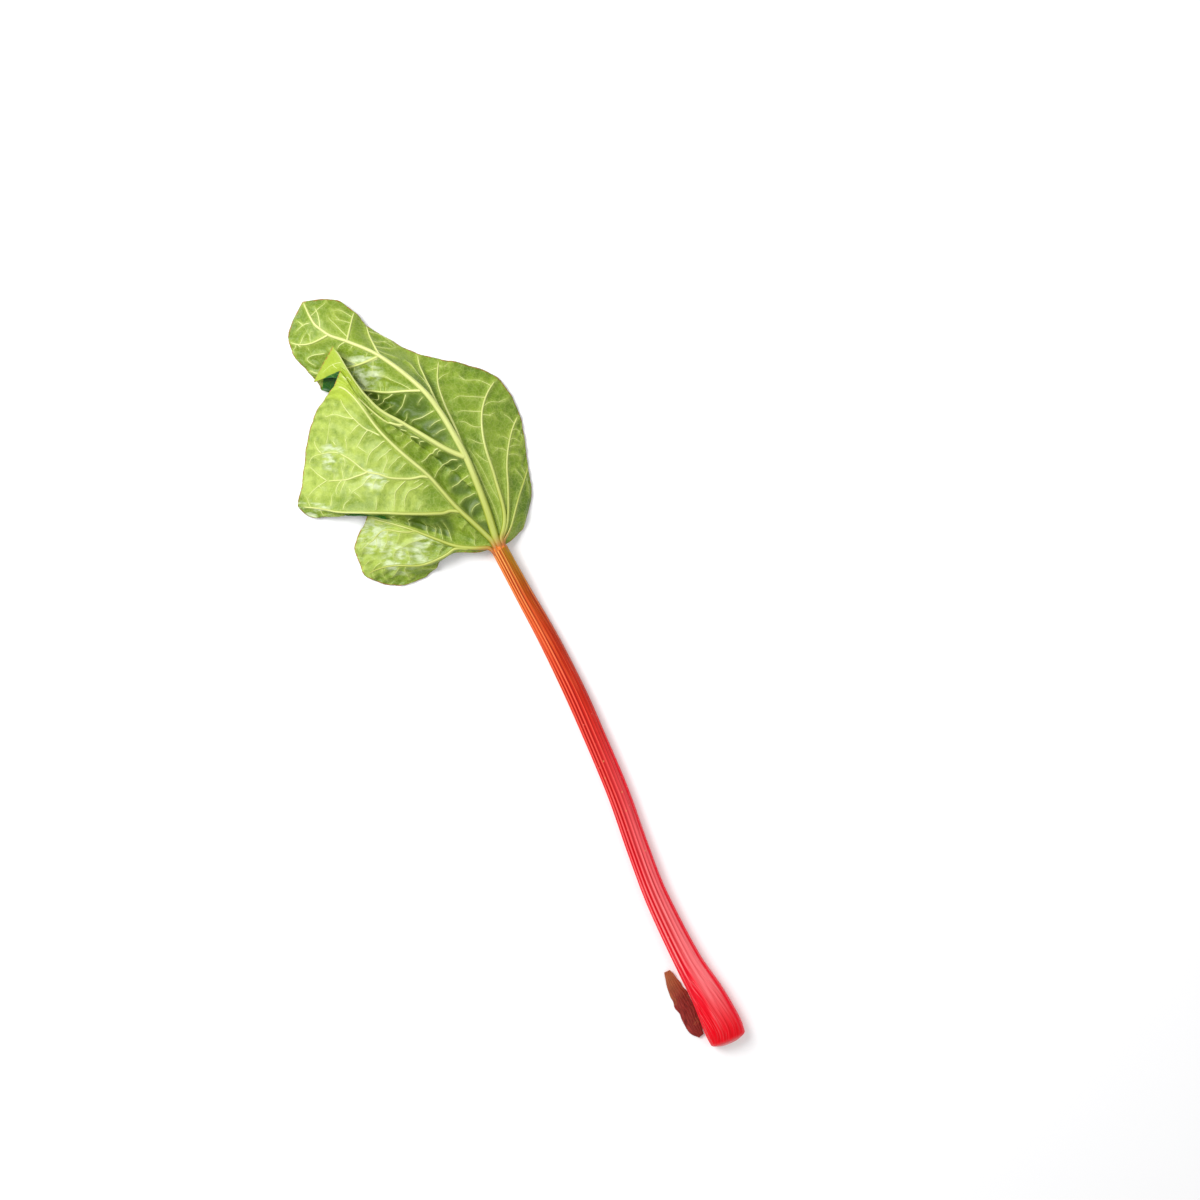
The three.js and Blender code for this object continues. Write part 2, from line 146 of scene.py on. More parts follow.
@dataclass(frozen=True)
class Spline:
    """A centripetal Catmull-Rom curve through its points, one point a row."""

    points: Array
    samples: int = 401
    least_span: float = 1e-4

    def at(self, share: Array) -> Array:
        """Points of the curve.

        Args:
            share: Places from 0 to 1, with the control points evenly spaced among them.

        Returns:
            One point for each place.
        """
        pts = self.points
        place = np.clip(share, 0.0, 1.0) * (len(pts) - 1)
        index = np.minimum(place.astype(int), len(pts) - 2)
        part = (place - index)[:, None]
        padded = np.vstack([2 * pts[0] - pts[1], pts, 2 * pts[-1] - pts[-2]])
        p0, p1, p2, p3 = (padded[index + step] for step in range(4))
        d0, d1, d2 = (
            np.sqrt(np.linalg.norm(b - a, axis=1, keepdims=True))
            for a, b in ((p0, p1), (p1, p2), (p2, p3))
        )
        d1 = np.where(d1 < self.least_span, 1.0, d1)
        d0, d2 = (np.where(span < self.least_span, d1, span) for span in (d0, d2))
        leave = ((p1 - p0) / d0 - (p2 - p0) / (d0 + d1) + (p2 - p1) / d1) * d1
        reach = ((p2 - p1) / d1 - (p3 - p1) / (d1 + d2) + (p3 - p2) / d2) * d1
        square = -3 * p1 + 3 * p2 - 2 * leave - reach
        cube = 2 * p1 - 2 * p2 + leave + reach
        return p1 + part * leave + part**2 * square + part**3 * cube

    def measured(self) -> tuple[Array, Array]:
        """The lengths travelled at many even places, and those places."""
        share = np.linspace(0.0, 1.0, self.samples)
        return travelled_along(self.at(share)), share

    def length(self) -> float:
        """The length of the curve."""
        return self.measured()[0][-1]

    def along(self, distance: Array) -> Array:
        """Points of the curve at distances from its start."""
        travelled, share = self.measured()
        return self.at(np.interp(distance, travelled, share))

    def even(self, gap: float) -> Array:
        """Points at even distances of about a gap."""
        travelled, share = self.measured()
        count = max(2, int(math.ceil(travelled[-1] / gap)) + 1)
        return self.at(np.interp(np.linspace(0.0, travelled[-1], count), travelled, share))


def sizes_along(pairs: Iterable[Pair], spacing: float = 9.0) -> Spline:
    """A curve through pairs of sizes, with a third number that keeps equal pairs apart."""
    return Spline(np.array([(*pair, spacing * i) for i, pair in enumerate(pairs)], float))


def swept(line: Spline, sizes: Spline, count: int) -> tuple[Array, Array, Array, Array]:
    """Read a line and the sizes along it at even distances.

    Args:
        line: The line in space.
        sizes: The sizes at its points.
        count: How many places to read.

    Returns:
        For each place its share of the length, its point, its sizes and its level sideways direction.
    """
    travelled, share = line.measured()
    u = np.linspace(0, 1, count)
    mapped = np.interp(u * travelled[-1], travelled, share)
    at = line.at(mapped)
    along = unit(np.gradient(at, axis=0))
    return u, at, sizes.at(mapped), np.stack([-along[:, 1], along[:, 0], np.zeros(count)], axis=1)


# ---------------------------------------------------------------- shader building


class Signal:
    """A number that changes over a surface. Arithmetic on it adds Math nodes."""

    def __init__(self, shader: "Shader", socket: Socket) -> None:
        """Wrap an output socket of a shader."""
        self.shader = shader
        self.socket = socket

    def _math(self, operation: str, first: Any, second: Any = 0.0, clamp: bool = False) -> "Signal":
        """Add one Math node and wrap its output."""
        made = self.shader.node(
            "ShaderNodeMath",
            {"operation": operation, "use_clamp": clamp},
            {0: first, 1: second},
        )
        return Signal(self.shader, made.outputs[0])

    def __add__(self, other: Any) -> "Signal":
        """This plus another."""
        return self._math("ADD", self, other)

    def __radd__(self, other: Any) -> "Signal":
        """Another plus this."""
        return self._math("ADD", other, self)

    def __sub__(self, other: Any) -> "Signal":
        """This less another."""
        return self._math("SUBTRACT", self, other)

    def __rsub__(self, other: Any) -> "Signal":
        """Another less this."""
        return self._math("SUBTRACT", other, self)

    def __mul__(self, other: Any) -> "Signal":
        """This times another."""
        return self._math("MULTIPLY", self, other)

    def held(self) -> "Signal":
        """This kept between 0 and 1."""
        return self._math("ADD", self, 0.0, clamp=True)

    def most(self, other: Any) -> "Signal":
        """The larger of this and another."""
        return self._math("MAXIMUM", self, other)

    def between(self, low: float, high: float) -> "Signal":
        """A smooth step from 0 at low to 1 at high, or the other way where low is larger."""
        made = self.shader.node(
            "ShaderNodeMapRange",
            {"interpolation_type": "SMOOTHSTEP"},
            {"Value": self, "From Min": low, "From Max": high, "To Min": 0.0, "To Max": 1.0},
        )
        return Signal(self.shader, made.outputs["Result"])


class Shader:
    """A material under construction."""

    def __init__(self, name: str) -> None:
        """Start a material with one Principled shader, and no colour yet."""
        self.material = bpy.data.materials.new(name)
        self.material.use_nodes = True
        self.tree = self.material.node_tree
        self.tree.nodes.clear()
        self.surface = self.node("ShaderNodeBsdfPrincipled", {}, {})
        self.colour: Any = None
        self.node("ShaderNodeOutputMaterial", {}, {"Surface": self.surface.outputs[0]})

    def node(self, kind: str, settings: dict[str, Any], inputs: dict[Any, Any]) -> bpy.types.Node:
        """Add one node.

        Args:
            kind: The node's type.
            settings: Its own settings, set before its sockets. "stops" holds a ramp's stops.
            inputs: For each socket, by name or number, a value, a signal or an output socket.

        Returns:
            The node.
        """
        made = self.tree.nodes.new(kind)
        for name, value in settings.items():
            if name == "stops":
                self._stops(made.color_ramp, value)
            else:
                setattr(made, name, value)
        for key, value in inputs.items():
            self.feed(made.inputs[key], value)
        return made

    def feed(self, socket: Socket, value: Any) -> None:
        """Give a socket its value or its link."""
        if isinstance(value, Signal):
            self.tree.links.new(value.socket, socket)
        elif isinstance(value, Socket):
            self.tree.links.new(value, socket)
        else:
            socket.default_value = value

    def _stops(self, ramp: bpy.types.ColorRamp, stops: Stops) -> None:
        """Lay a ramp's stops."""
        while len(ramp.elements) > 1:
            ramp.elements.remove(ramp.elements[-1])
        ramp.elements[0].position = stops[0][0]
        ramp.elements[0].color = stops[0][1]
        for place, colour in stops[1:]:
            ramp.elements.new(place).color = colour

    def attribute(self, name: str) -> Signal:
        """A number stored on the mesh."""
        made = self.node("ShaderNodeAttribute", {"attribute_name": name}, {})
        return Signal(self, made.outputs["Fac"])

    def stored_vector(self, name: str) -> Socket:
        """A vector stored on the mesh."""
        return self.node("ShaderNodeAttribute", {"attribute_name": name}, {}).outputs["Vector"]

    def place(self) -> Socket:
        """The place on the object, in metres."""
        return self.node("ShaderNodeTexCoord", {}, {}).outputs["Object"]

    def scaled(self, vector: Socket, scale: Triple) -> Socket:
        """A vector scaled along each axis."""
        made = self.node("ShaderNodeVectorMath", {"operation": "MULTIPLY"}, {0: vector, 1: scale})
        return made.outputs[0]

    def cloud(
        self, vector: Socket, scale: float, detail: float = 3.0, rough: float = 0.5
    ) -> Signal:
        """Smooth noise about 0.5.

        Args:
            vector: Where the noise is read.
            scale: How many patches there are to a unit of the vector.
            detail: How many finer layers there are.
            rough: How strong the finer layers are.

        Returns:
            The noise.
        """
        made = self.node(
            "ShaderNodeTexNoise",
            {},
            {"Vector": vector, "Scale": scale, "Detail": detail, "Roughness": rough},
        )
        return Signal(self, made.outputs["Fac"])

    def streaks(
        self, skin: Socket, across: float, along: float, detail: float = 3.0, rough: float = 0.6
    ) -> Signal:
        """Noise drawn out along a skin.

        Args:
            skin: The place on the skin in millimetres, across and along.
            across: Patches to a millimetre across.
            along: Patches to a millimetre along.
            detail: How many finer layers there are.
            rough: How strong the finer layers are.

        Returns:
            The noise.
        """
        return self.cloud(self.scaled(skin, (across, along, 1.0)), 1.0, detail, rough)

    def cells(self, vector: Socket, scale: float, feature: str) -> Signal:
        """Distances in a Voronoi pattern, to the nearest point or to the nearest edge."""
        made = self.node(
            "ShaderNodeTexVoronoi",
            {"feature": feature},
            {"Vector": vector, "Scale": scale},
        )
        return Signal(self, made.outputs["Distance"])

    def mix(self, share: Any, first: Any, second: Any, blend: str = "MIX") -> Socket:
        """One colour laid over another by a share."""
        made = self.node(
            "ShaderNodeMix",
            {"data_type": "RGBA", "blend_type": blend, "clamp_factor": True},
            {0: share, 6: first, 7: second},
        )
        return made.outputs[2]

    def lay(self, share: Any, colour: Any) -> None:
        """Lay one more colour over the shader's own by a share."""
        self.colour = self.mix(share, self.colour, colour)

    def ramp(self, value: Signal, stops: Stops) -> Socket:
        """A colour read from a ramp."""
        made = self.node("ShaderNodeValToRGB", {"stops": stops}, {0: value})
        return made.outputs["Color"]

    def bump(self, height: Signal, depth: float, strength: float = 1.0) -> None:
        """Lay fine relief on the surface.

        Args:
            height: The relief, from 0 to 1.
            depth: Its full height in millimetres.
            strength: How much of it shows.
        """
        made = self.node(
            "ShaderNodeBump",
            {},
            {"Height": height, "Distance": depth * MM, "Strength": strength},
        )
        self.feed(self.surface.inputs["Normal"], made.outputs["Normal"])

    def finish(self, **sockets: Any) -> Material:
        """Set the Principled shader's sockets, with _ for a space in their names.

        Args:
            **sockets: A value or a link for each socket.

        Returns:
            The material.
        """
        for name, value in sockets.items():
            self.feed(self.surface.inputs[name.replace("_", " ")], value)
        return self.material


# ---------------------------------------------------------------- finishes


@dataclass(frozen=True)
class LeafUndersideFinish:
    """The pale side of the blade, with its net of small veins and a thin red margin, and painted light,
    sheen and shade.
    """

    deep: Colour = rgb(78, 110, 0)
    plain: Colour = rgb(122, 150, 20)
    pale: Colour = rgb(160, 180, 62)
    vein: Colour = rgb(192, 206, 108)
    shade: Colour = rgb(44, 74, 0)
    margin: Colour = rgb(164, 84, 40)
    lit: Colour = rgb(172, 194, 44)
    bloom: Colour = rgb(206, 218, 176)
    sunny: Colour = rgb(190, 208, 96)
    net_cells_per_m: float = 290.0
    fine_net_cells_per_m: float = 754.0
    patch_per_m: float = 34.0
    blotch_per_m: float = 153.0
    grain_per_m: float = 900.0
    sheen_per_m: float = 90.0
    ragged_per_m: float = 420.0
    warp_per_m: float = 160.0
    warp_reach_m: float = 0.004
    relief_mm: float = 0.5

    def material(self) -> Material:
        """Build the material."""
        shader = Shader("leaf_underside")
        place = shader.place()
        patches = shader.cloud(place, self.patch_per_m, 4.0, 0.55)
        blotches = shader.cloud(place, self.blotch_per_m, 3.0, 0.6)
        grain = shader.cloud(place, self.grain_per_m, 2.0)
        tone = (patches - 0.5) * 1.3 + (blotches - 0.5) * 0.5 + 0.5
        shader.colour = shader.ramp(tone.held(), [(0.18, self.deep), (0.5, self.plain), (0.85, self.pale)])
        drift = shader.node("ShaderNodeTexNoise", {}, {"Vector": place, "Scale": self.warp_per_m})
        warp = shader.node(
            "ShaderNodeVectorMath",
            {"operation": "MULTIPLY_ADD"},
            {0: drift.outputs["Color"], 1: (self.warp_reach_m,) * 3, 2: place},
        ).outputs[0]
        coarse = shader.cells(warp, self.net_cells_per_m, "DISTANCE_TO_EDGE").between(0.13, 0.0)
        fine = shader.cells(warp, self.fine_net_cells_per_m, "DISTANCE_TO_EDGE").between(0.1, 0.0)
        net = (coarse * 0.5 + fine * 0.2).held()
        shader.lay(net * 0.6, self.vein)
        near = shader.attribute("near_vein")
        # painted shade: darker where the blade sinks between the veins
        low = shader.attribute("sunk")
        shader.lay(low * 0.3, self.deep)
        # painted light: yellower and brighter where the blade lies away from the folds
        sunny = shader.attribute("sunny") * (0.5 + (blotches - 0.5) * 1.4)
        shader.lay(sunny.held(), self.sunny)
        shade = shader.attribute("shade") * (0.7 + (blotches - 0.5) * 0.6)
        shader.lay(shade.held(), self.shade)
        shader.lay(near * 0.3, self.vein)
        # painted light: the flaps by the notch made brighter
        shader.lay(shader.attribute("lit") * 0.7, self.lit)
        shader.lay((grain - 0.5) * 0.35 + 0.08, self.deep)
        # painted sheen: pale streaky patches where the blade looks glossy
        sheen = shader.cloud(shader.scaled(place, (1.0, 2.6, 1.0)), self.sheen_per_m, 3.0, 0.6)
        bloom = shader.attribute("bloom") * sheen.between(0.4, 0.64)
        shader.lay(bloom * 0.85, self.bloom)
        edge = shader.attribute("edge_mm").between(1.5, 0.3)
        ragged = shader.cloud(place, self.ragged_per_m, 2.0).between(0.35, 0.6)
        shader.lay(edge * ragged * 0.8, self.margin)
        rough = 0.36 + patches * 0.2 - near * 0.04 + (grain - 0.5) * 0.12
        relief = net * 0.6 + grain * 0.2 + blotches * 0.6 + near * 0.15
        shader.bump(relief, self.relief_mm, 0.8)
        return shader.finish(
            Base_Color=shader.colour,
            Roughness=rough.held(),
            Specular_IOR_Level=0.34,
            Coat_Weight=0.14,
            Coat_Roughness=0.26,
        )


@dataclass(frozen=True)
class LeafUpperFinish:
    """The dark glossy side of the blade, with sunken veins."""

    deep: Colour = rgb(16, 76, 2)
    plain: Colour = rgb(40, 116, 6)
    vein: Colour = rgb(110, 160, 40)
    net_cells_per_m: float = 200.0
    patch_per_m: float = 60.0
    relief_mm: float = 0.4

    def material(self) -> Material:
        """Build the material."""
        shader = Shader("leaf_upper_side")
        place = shader.place()
        patches = shader.cloud(place, self.patch_per_m, 4.0)
        shader.colour = shader.ramp(patches, [(0.32, self.deep), (0.66, self.plain)])
        net = shader.cells(place, self.net_cells_per_m, "DISTANCE_TO_EDGE").between(0.07, 0.0)
        near = shader.attribute("near_vein")
        shader.lay((net * 0.35 + near.between(0.55, 1.0) * 0.5).held(), self.vein)
        shader.bump(1.0 - net * 0.8, self.relief_mm, 0.8)
        return shader.finish(
            Base_Color=shader.colour,
            Roughness=(0.34 + patches * 0.14).held(),
            Specular_IOR_Level=0.3,
            Coat_Weight=0.15,
            Coat_Roughness=0.22,
        )


@dataclass(frozen=True)
class RibFinish:
    """The raised ribs: waxy yellow green, flushed orange where they leave the stalk, with painted shade down
    their sides and a painted highlight along their crests.
    """

    name: str = "leaf_rib"
    shade: Colour = rgb(112, 130, 8)
    plain: Colour = rgb(160, 172, 48)
    crest: Colour = rgb(200, 208, 112)
    far: Colour = rgb(226, 232, 152)
    flush: Colour = rgb(170, 84, 8)
    flush_reach_mm: float = 11.0
    speck_per_m: float = 700.0
    relief_mm: float = 0.25

    def material(self) -> Material:
        """Build the material."""
        shader = Shader(self.name)
        skin = shader.stored_vector("skin_mm")
        streaks = shader.streaks(skin, 1.5, 0.05)
        specks = shader.cloud(shader.place(), self.speck_per_m, 2.0)
        high = shader.attribute("crest")
        # painted shade down the rods' sides, and a painted highlight along their crests
        shader.colour = shader.mix(high.between(0.1, 0.75), self.shade, self.plain)
        shader.lay(high.between(0.6, 1.0) * 0.6, self.crest)
        away = shader.attribute("from_stalk_mm")
        shader.lay(away.between(15.0, 110.0) * 0.6, self.far)
        # the ribs' own darker streaks, in the same colour as the painted shade
        shader.lay(streaks.between(0.45, 0.75) * 0.35, self.shade)
        near_stalk = away.between(self.flush_reach_mm, -3.0)
        shader.lay((near_stalk * (streaks * 0.8 + 0.6)).held(), self.flush)
        shader.bump(streaks * 0.7 + specks * 0.3, self.relief_mm, 0.6)
        return shader.finish(
            Base_Color=shader.colour,
            Roughness=(0.34 + (specks - 0.5) * 0.15 + streaks * 0.08).held(),
            Coat_Weight=0.2,
            Coat_Roughness=0.22,
        )


@dataclass(frozen=True)
class StalkSkinFinish:
    """The ribbed skin, olive orange by the leaf and crimson from the middle down, with painted highlights on
    the ridges and the flat face, painted light on one side, and painted shade in the grooves.
    """

    skin_stops: Stops = (
        (0.0, rgb(166, 88, 4)),
        (0.08, rgb(170, 72, 4)),
        (0.2, rgb(184, 48, 10)),
        (0.34, rgb(206, 34, 18)),
        (0.5, rgb(216, 8, 22)),
        (0.66, rgb(236, 10, 38)),
        (0.85, rgb(242, 16, 46)),
        (0.97, rgb(236, 0, 24)),
    )
    # pale reds: a painted highlight on the ridge crests, also the fine pale lines
    line_stops: Stops = (
        (0.0, rgb(250, 176, 92)),
        (0.14, rgb(250, 138, 78)),
        (0.34, rgb(244, 90, 70)),
        (0.6, rgb(252, 104, 106)),
        (0.85, rgb(254, 146, 146)),
        (1.0, rgb(252, 110, 118)),
    )
    # darker reds: painted shade in the grooves, also the fine dark lines and pits
    valley_stops: Stops = (
        (0.0, rgb(150, 44, 2)),
        (0.2, rgb(150, 10, 0)),
        (0.5, rgb(168, 0, 8)),
        (0.8, rgb(196, 0, 14)),
        (1.0, rgb(186, 0, 6)),
    )
    lit_stops: Stops = (
        (0.0, rgb(236, 132, 58)),
        (0.12, rgb(236, 104, 50)),
        (0.34, rgb(222, 52, 32)),
    )
    # pale pink: the painted highlight band, and the rim of flesh by the pulled end
    bloom: Colour = rgb(252, 126, 130)
    edge: Colour = rgb(244, 0, 36)
    green: Colour = rgb(160, 132, 14)
    dot: Colour = rgb(240, 160, 140)
    scar: Colour = rgb(214, 150, 96)
    grain_per_m: float = 1500.0
    dots_per_m: float = 260.0
    dotted_part_per_m: float = 130.0
    pits_per_m: float = 520.0
    relief_mm: float = 0.6

    def material(self) -> Material:
        """Build the material."""
        shader = Shader("stalk_skin")
        skin = shader.stored_vector("skin_mm")
        along = shader.attribute("along")
        crest = shader.attribute("crest")
        groove = shader.attribute("groove")
        across = shader.attribute("across")
        strands = shader.streaks(skin, 0.85, 0.016)
        threads = shader.streaks(skin, 1.7, 0.03, 2.0, 0.5)
        bands = shader.streaks(skin, 0.32, 0.012, 2.0, 0.5)
        grain = shader.cloud(shader.place(), self.grain_per_m, 2.0)
        drift = along + (bands - 0.5) * 0.16 + (strands - 0.5) * 0.05
        shader.colour = shader.ramp(drift, self.skin_stops)
        line = shader.ramp(drift, self.line_stops)
        valley = shader.ramp(drift, self.valley_stops)
        lit_side = across.between(0.2, -0.05) * along.between(0.4, 0.2)
        shader.lay(lit_side * 0.85, shader.ramp(drift, self.lit_stops))
        # painted highlight: a broad pale pink band down the flat face
        face = across.between(-0.3, 0.05) * across.between(0.86, 0.66)
        bloom = face * along.between(0.3, 0.8) * along.between(0.98, 0.86) * bands.between(0.12, 0.42)
        shader.lay((bloom * (0.45 + threads * 0.8)).held(), self.bloom)
        # fine pale and dark lines: the skin's own streaks, with painted highlight and shade on the fine
        # relief
        shader.lay(strands.between(0.55, 0.68) * 0.45, line)
        shader.lay(threads.between(0.57, 0.68) * 0.4, line)
        shader.lay(strands.between(0.46, 0.34) * 0.5, valley)
        # painted shade in the grooves beside the ridges
        shader.lay((groove * (0.6 + bands * 0.5)).held(), valley)
        # painted highlight along the ridge crests
        raised = crest.between(0.4, 0.9) * (0.2 + strands * 0.7 + bands * 0.6)
        shader.lay(raised.held(), line)
        rim = across.between(0.72, 0.84).most(across.between(-0.9, -0.98))
        shader.lay(rim * along.between(0.3, 0.5) * 0.85, self.edge)
        # the pale pink rim of flesh by the pulled end, the stalk's own colour
        shader.lay(along.between(0.985, 0.999) * 0.7, self.bloom)
        green_side = across.between(-0.2, 0.8) * along.between(0.11, 0.0)
        shader.lay(green_side * 0.6, self.green)
        dots = shader.cells(shader.place(), self.dots_per_m, "F1").between(0.13, 0.05)
        sparse = shader.cloud(shader.place(), self.dotted_part_per_m, 2.0).between(0.52, 0.62)
        shader.lay(dots * sparse * 0.7, self.dot)
        pits = shader.cells(shader.place(), self.pits_per_m, "F1").between(0.2, 0.08)
        shader.lay(pits * 0.16, valley)
        mark = shader.attribute("nick")
        shader.lay(mark, self.scar)
        relief = strands * 0.5 + threads * 0.35 + grain * 0.18 - pits * 0.12 + dots * sparse * 0.1
        shader.bump(relief, self.relief_mm, 0.9)
        return shader.finish(
            Base_Color=shader.colour,
            Roughness=(0.28 + strands * 0.12 + (grain - 0.5) * 0.18 + mark * 0.3).held(),
            Specular_IOR_Level=0.12,
            Coat_Weight=0.05,
            Coat_Roughness=0.16,
        )


@dataclass(frozen=True)
class CutFleshFinish:
    """The pulled end: pale fibrous flesh, pink to the rim, browned in places."""

    pale: Colour = rgb(226, 172, 120)
    pink: Colour = rgb(206, 58, 54)
    brown: Colour = rgb(128, 70, 28)
    fibres_per_m: float = 700.0
    patch_per_m: float = 220.0
    relief_mm: float = 0.4

    def material(self) -> Material:
        """Build the material."""
        shader = Shader("cut_flesh")
        place = shader.place()
        fibre = shader.cells(place, self.fibres_per_m, "F1")
        patches = shader.cloud(place, self.patch_per_m, 3.0)
        shader.colour = shader.mix(patches.between(0.35, 0.7), self.pink, self.pale)
        shader.lay(fibre.between(0.3, 0.1) * 0.5, self.brown)
        shader.bump(fibre, self.relief_mm, 0.8)
        return shader.finish(Base_Color=shader.colour, Roughness=(0.5 + patches * 0.2).held())


@dataclass(frozen=True)
class DrySkinFinish:
    """The dry papery scale beside the base."""

    dark: Colour = rgb(92, 16, 12)
    plain: Colour = rgb(158, 52, 44)
    straw: Colour = rgb(190, 116, 70)
    patch_per_m: float = 110.0
    relief_mm: float = 0.5

    def material(self) -> Material:
        """Build the material."""
        shader = Shader("dry_skin")
        skin = shader.stored_vector("skin_mm")
        fibres = shader.streaks(skin, 2.2, 0.16, 4.0, 0.65)
        patches = shader.cloud(shader.place(), self.patch_per_m, 3.0)
        shader.colour = shader.mix(fibres.between(0.34, 0.64), self.dark, self.plain)
        tip = shader.attribute("along").between(0.5, 1.0)
        shader.lay((tip * 0.6 + patches.between(0.55, 0.75) * 0.5).held(), self.straw)
        shader.bump(fibres * 0.8 + patches * 0.2, self.relief_mm, 0.9)
        rough = (0.6 + patches * 0.2).held()
        return shader.finish(Base_Color=shader.colour, Roughness=rough, Specular_IOR_Level=0.25)


@dataclass(frozen=True)
class StudioFloorFinish:
    """The plain pale surface under the stalk, with a little glow that keeps its shadows light."""

    white: Colour = (0.88, 0.88, 0.885, 1.0)
    cloudy: Colour = (0.86, 0.86, 0.87, 1.0)
    glow: float = 0.16
    cloud_per_m: float = 3.0

    def material(self) -> Material:
        """Build the material."""
        shader = Shader("studio_floor")
        cloud = shader.cloud(shader.place(), self.cloud_per_m, 2.0)
        shader.colour = shader.mix(cloud * 0.3, self.white, self.cloudy)
        return shader.finish(
            Base_Color=shader.colour,
            Roughness=0.6,
            Specular_IOR_Level=0.2,
            Emission_Color=self.white,
            Emission_Strength=self.glow,
        )


# ---------------------------------------------------------------- mesh writing


@dataclass
class Surface:
    """A mesh being gathered: points, faces, finish numbers, and numbers stored at the points."""

    name: str
    points: list[Array] = field(default_factory=list)
    faces: list[Array] = field(default_factory=list)
    finishes: list[Array] = field(default_factory=list)
    stored: dict[str, list[Array]] = field(default_factory=dict)
    count: int = 0

    def add(self, points: Array, faces: Array, finish: int = 0, **stored: Array) -> int:
        """Add points and the faces between them.

        Args:
            points: Places in millimetres.
            faces: Corners of each face, counted from the first of these points.
            finish: The number of the material these faces take.
            **stored: A number or vector for each point, under the name a material reads.

        Returns:
            How many points came before these.
        """
        start = self.count
        self.points.append(points)
        self.join(faces + start, finish)
        for name, values in stored.items():
            self.stored.setdefault(name, []).append(values)
        self.count += len(points)
        return start

    def join(self, faces: Array, finish: int = 0, turned: bool = False) -> None:
        """Add faces between points that are here already.

        Args:
            faces: Corners of each face.
            finish: The number of the material these faces take.
            turned: True to turn the faces over.
        """
        self.faces.append(faces[:, ::-1] if turned else faces)
        self.finishes.append(np.full(len(faces), finish))

    def close_ring(self, start: int, around: int, finish: int = 0, turned: bool = False) -> None:
        """Close the open end of a tube with one face.

        Args:
            start: The first point of the ring at that end.
            around: Points in the ring.
            finish: The number of the material the face takes.
            turned: True at the end that the tube starts from.
        """
        self.join(start + np.arange(around)[None], finish, turned)

    def build(self, materials: Sequence[Material], slot: str, node: str) -> Object:
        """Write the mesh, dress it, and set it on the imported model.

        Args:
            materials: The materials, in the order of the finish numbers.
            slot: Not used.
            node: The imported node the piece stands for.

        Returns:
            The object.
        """
        points = np.vstack(self.points) * MM
        mesh = bpy.data.meshes.new(self.name)
        loops = np.concatenate([f.ravel() for f in self.faces])
        sizes = np.concatenate([np.full(len(f), f.shape[1]) for f in self.faces])
        mesh.vertices.add(len(points))
        mesh.vertices.foreach_set("co", points.ravel())
        mesh.loops.add(len(loops))
        mesh.loops.foreach_set("vertex_index", loops)
        mesh.polygons.add(len(sizes))
        mesh.polygons.foreach_set("loop_start", np.concatenate([[0], np.cumsum(sizes)[:-1]]))
        mesh.polygons.foreach_set("loop_total", sizes)
        mesh.polygons.foreach_set("material_index", np.concatenate(self.finishes))
        mesh.update(calc_edges=True)
        for name, parts in self.stored.items():
            values = np.concatenate(parts)
            kind, item = ("FLOAT", "value") if values.ndim == 1 else ("FLOAT_VECTOR", "vector")
            layer = mesh.attributes.new(name, kind, "POINT")
            layer.data.foreach_set(item, values.astype(np.float32).ravel())
        mesh.validate()
        mesh.shade_smooth()
        made = bpy.data.objects.new(self.name, mesh)
        for material in materials:
            mesh.materials.append(material)
        bpy.context.scene.collection.objects.link(made)
        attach(made, ROOT_BODY)
        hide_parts(node)
        LOG.info("%s: %d points, %d faces", self.name, len(points), len(sizes))
        return made


def grid_faces(rows: int, columns: int, turned: bool = False) -> Array:
    """Four-cornered faces between the points of a grid that is stored row by row."""
    corner = (np.arange(rows - 1)[:, None] * columns + np.arange(columns - 1)).ravel()
    faces = np.stack([corner, corner + 1, corner + columns + 1, corner + columns], axis=1)
    return faces[:, ::-1] if turned else faces


def ring_faces(rings: int, around: int) -> Array:
    """Four-cornered faces of a tube stored ring by ring."""
    ring = np.arange(rings - 1)[:, None] * around
    here = np.arange(around)
    after = (here + 1) % around
    faces = np.stack([ring + here, ring + after, ring + after + around, ring + here + around], axis=-1)
    return faces.reshape(-1, 4)


# ---------------------------------------------------------------- the blade


class Side(Enum):
    """A half of the blade, seen with the leaf's underside up and its tip away."""

    LEFT = "left"
    RIGHT = "right"


@dataclass(frozen=True)
class Spoke:
    """A line across the blade from the midrib to the margin, and the rib along it.

    rib holds the share of the spoke where the rib starts, its width there and at the margin.
    """

    route: tuple[Triple, ...]
    rib: Triple | None = None


@dataclass
class Path:
    """A vein on a half of the blade: places as (spoke, column), its widths and its height.

    approach holds points off the blade that it passes before its first place.
    """

    places: Array
    root: float
    end: float
    tall: float = 0.5
    approach: tuple[Triple, ...] = ()

    def fine(self, each: int) -> Array:
        """Places on a smooth curve through the vein's own, with so many for each of those."""
        return Spline(self.places).at(np.linspace(0, 1, each * len(self.places)))


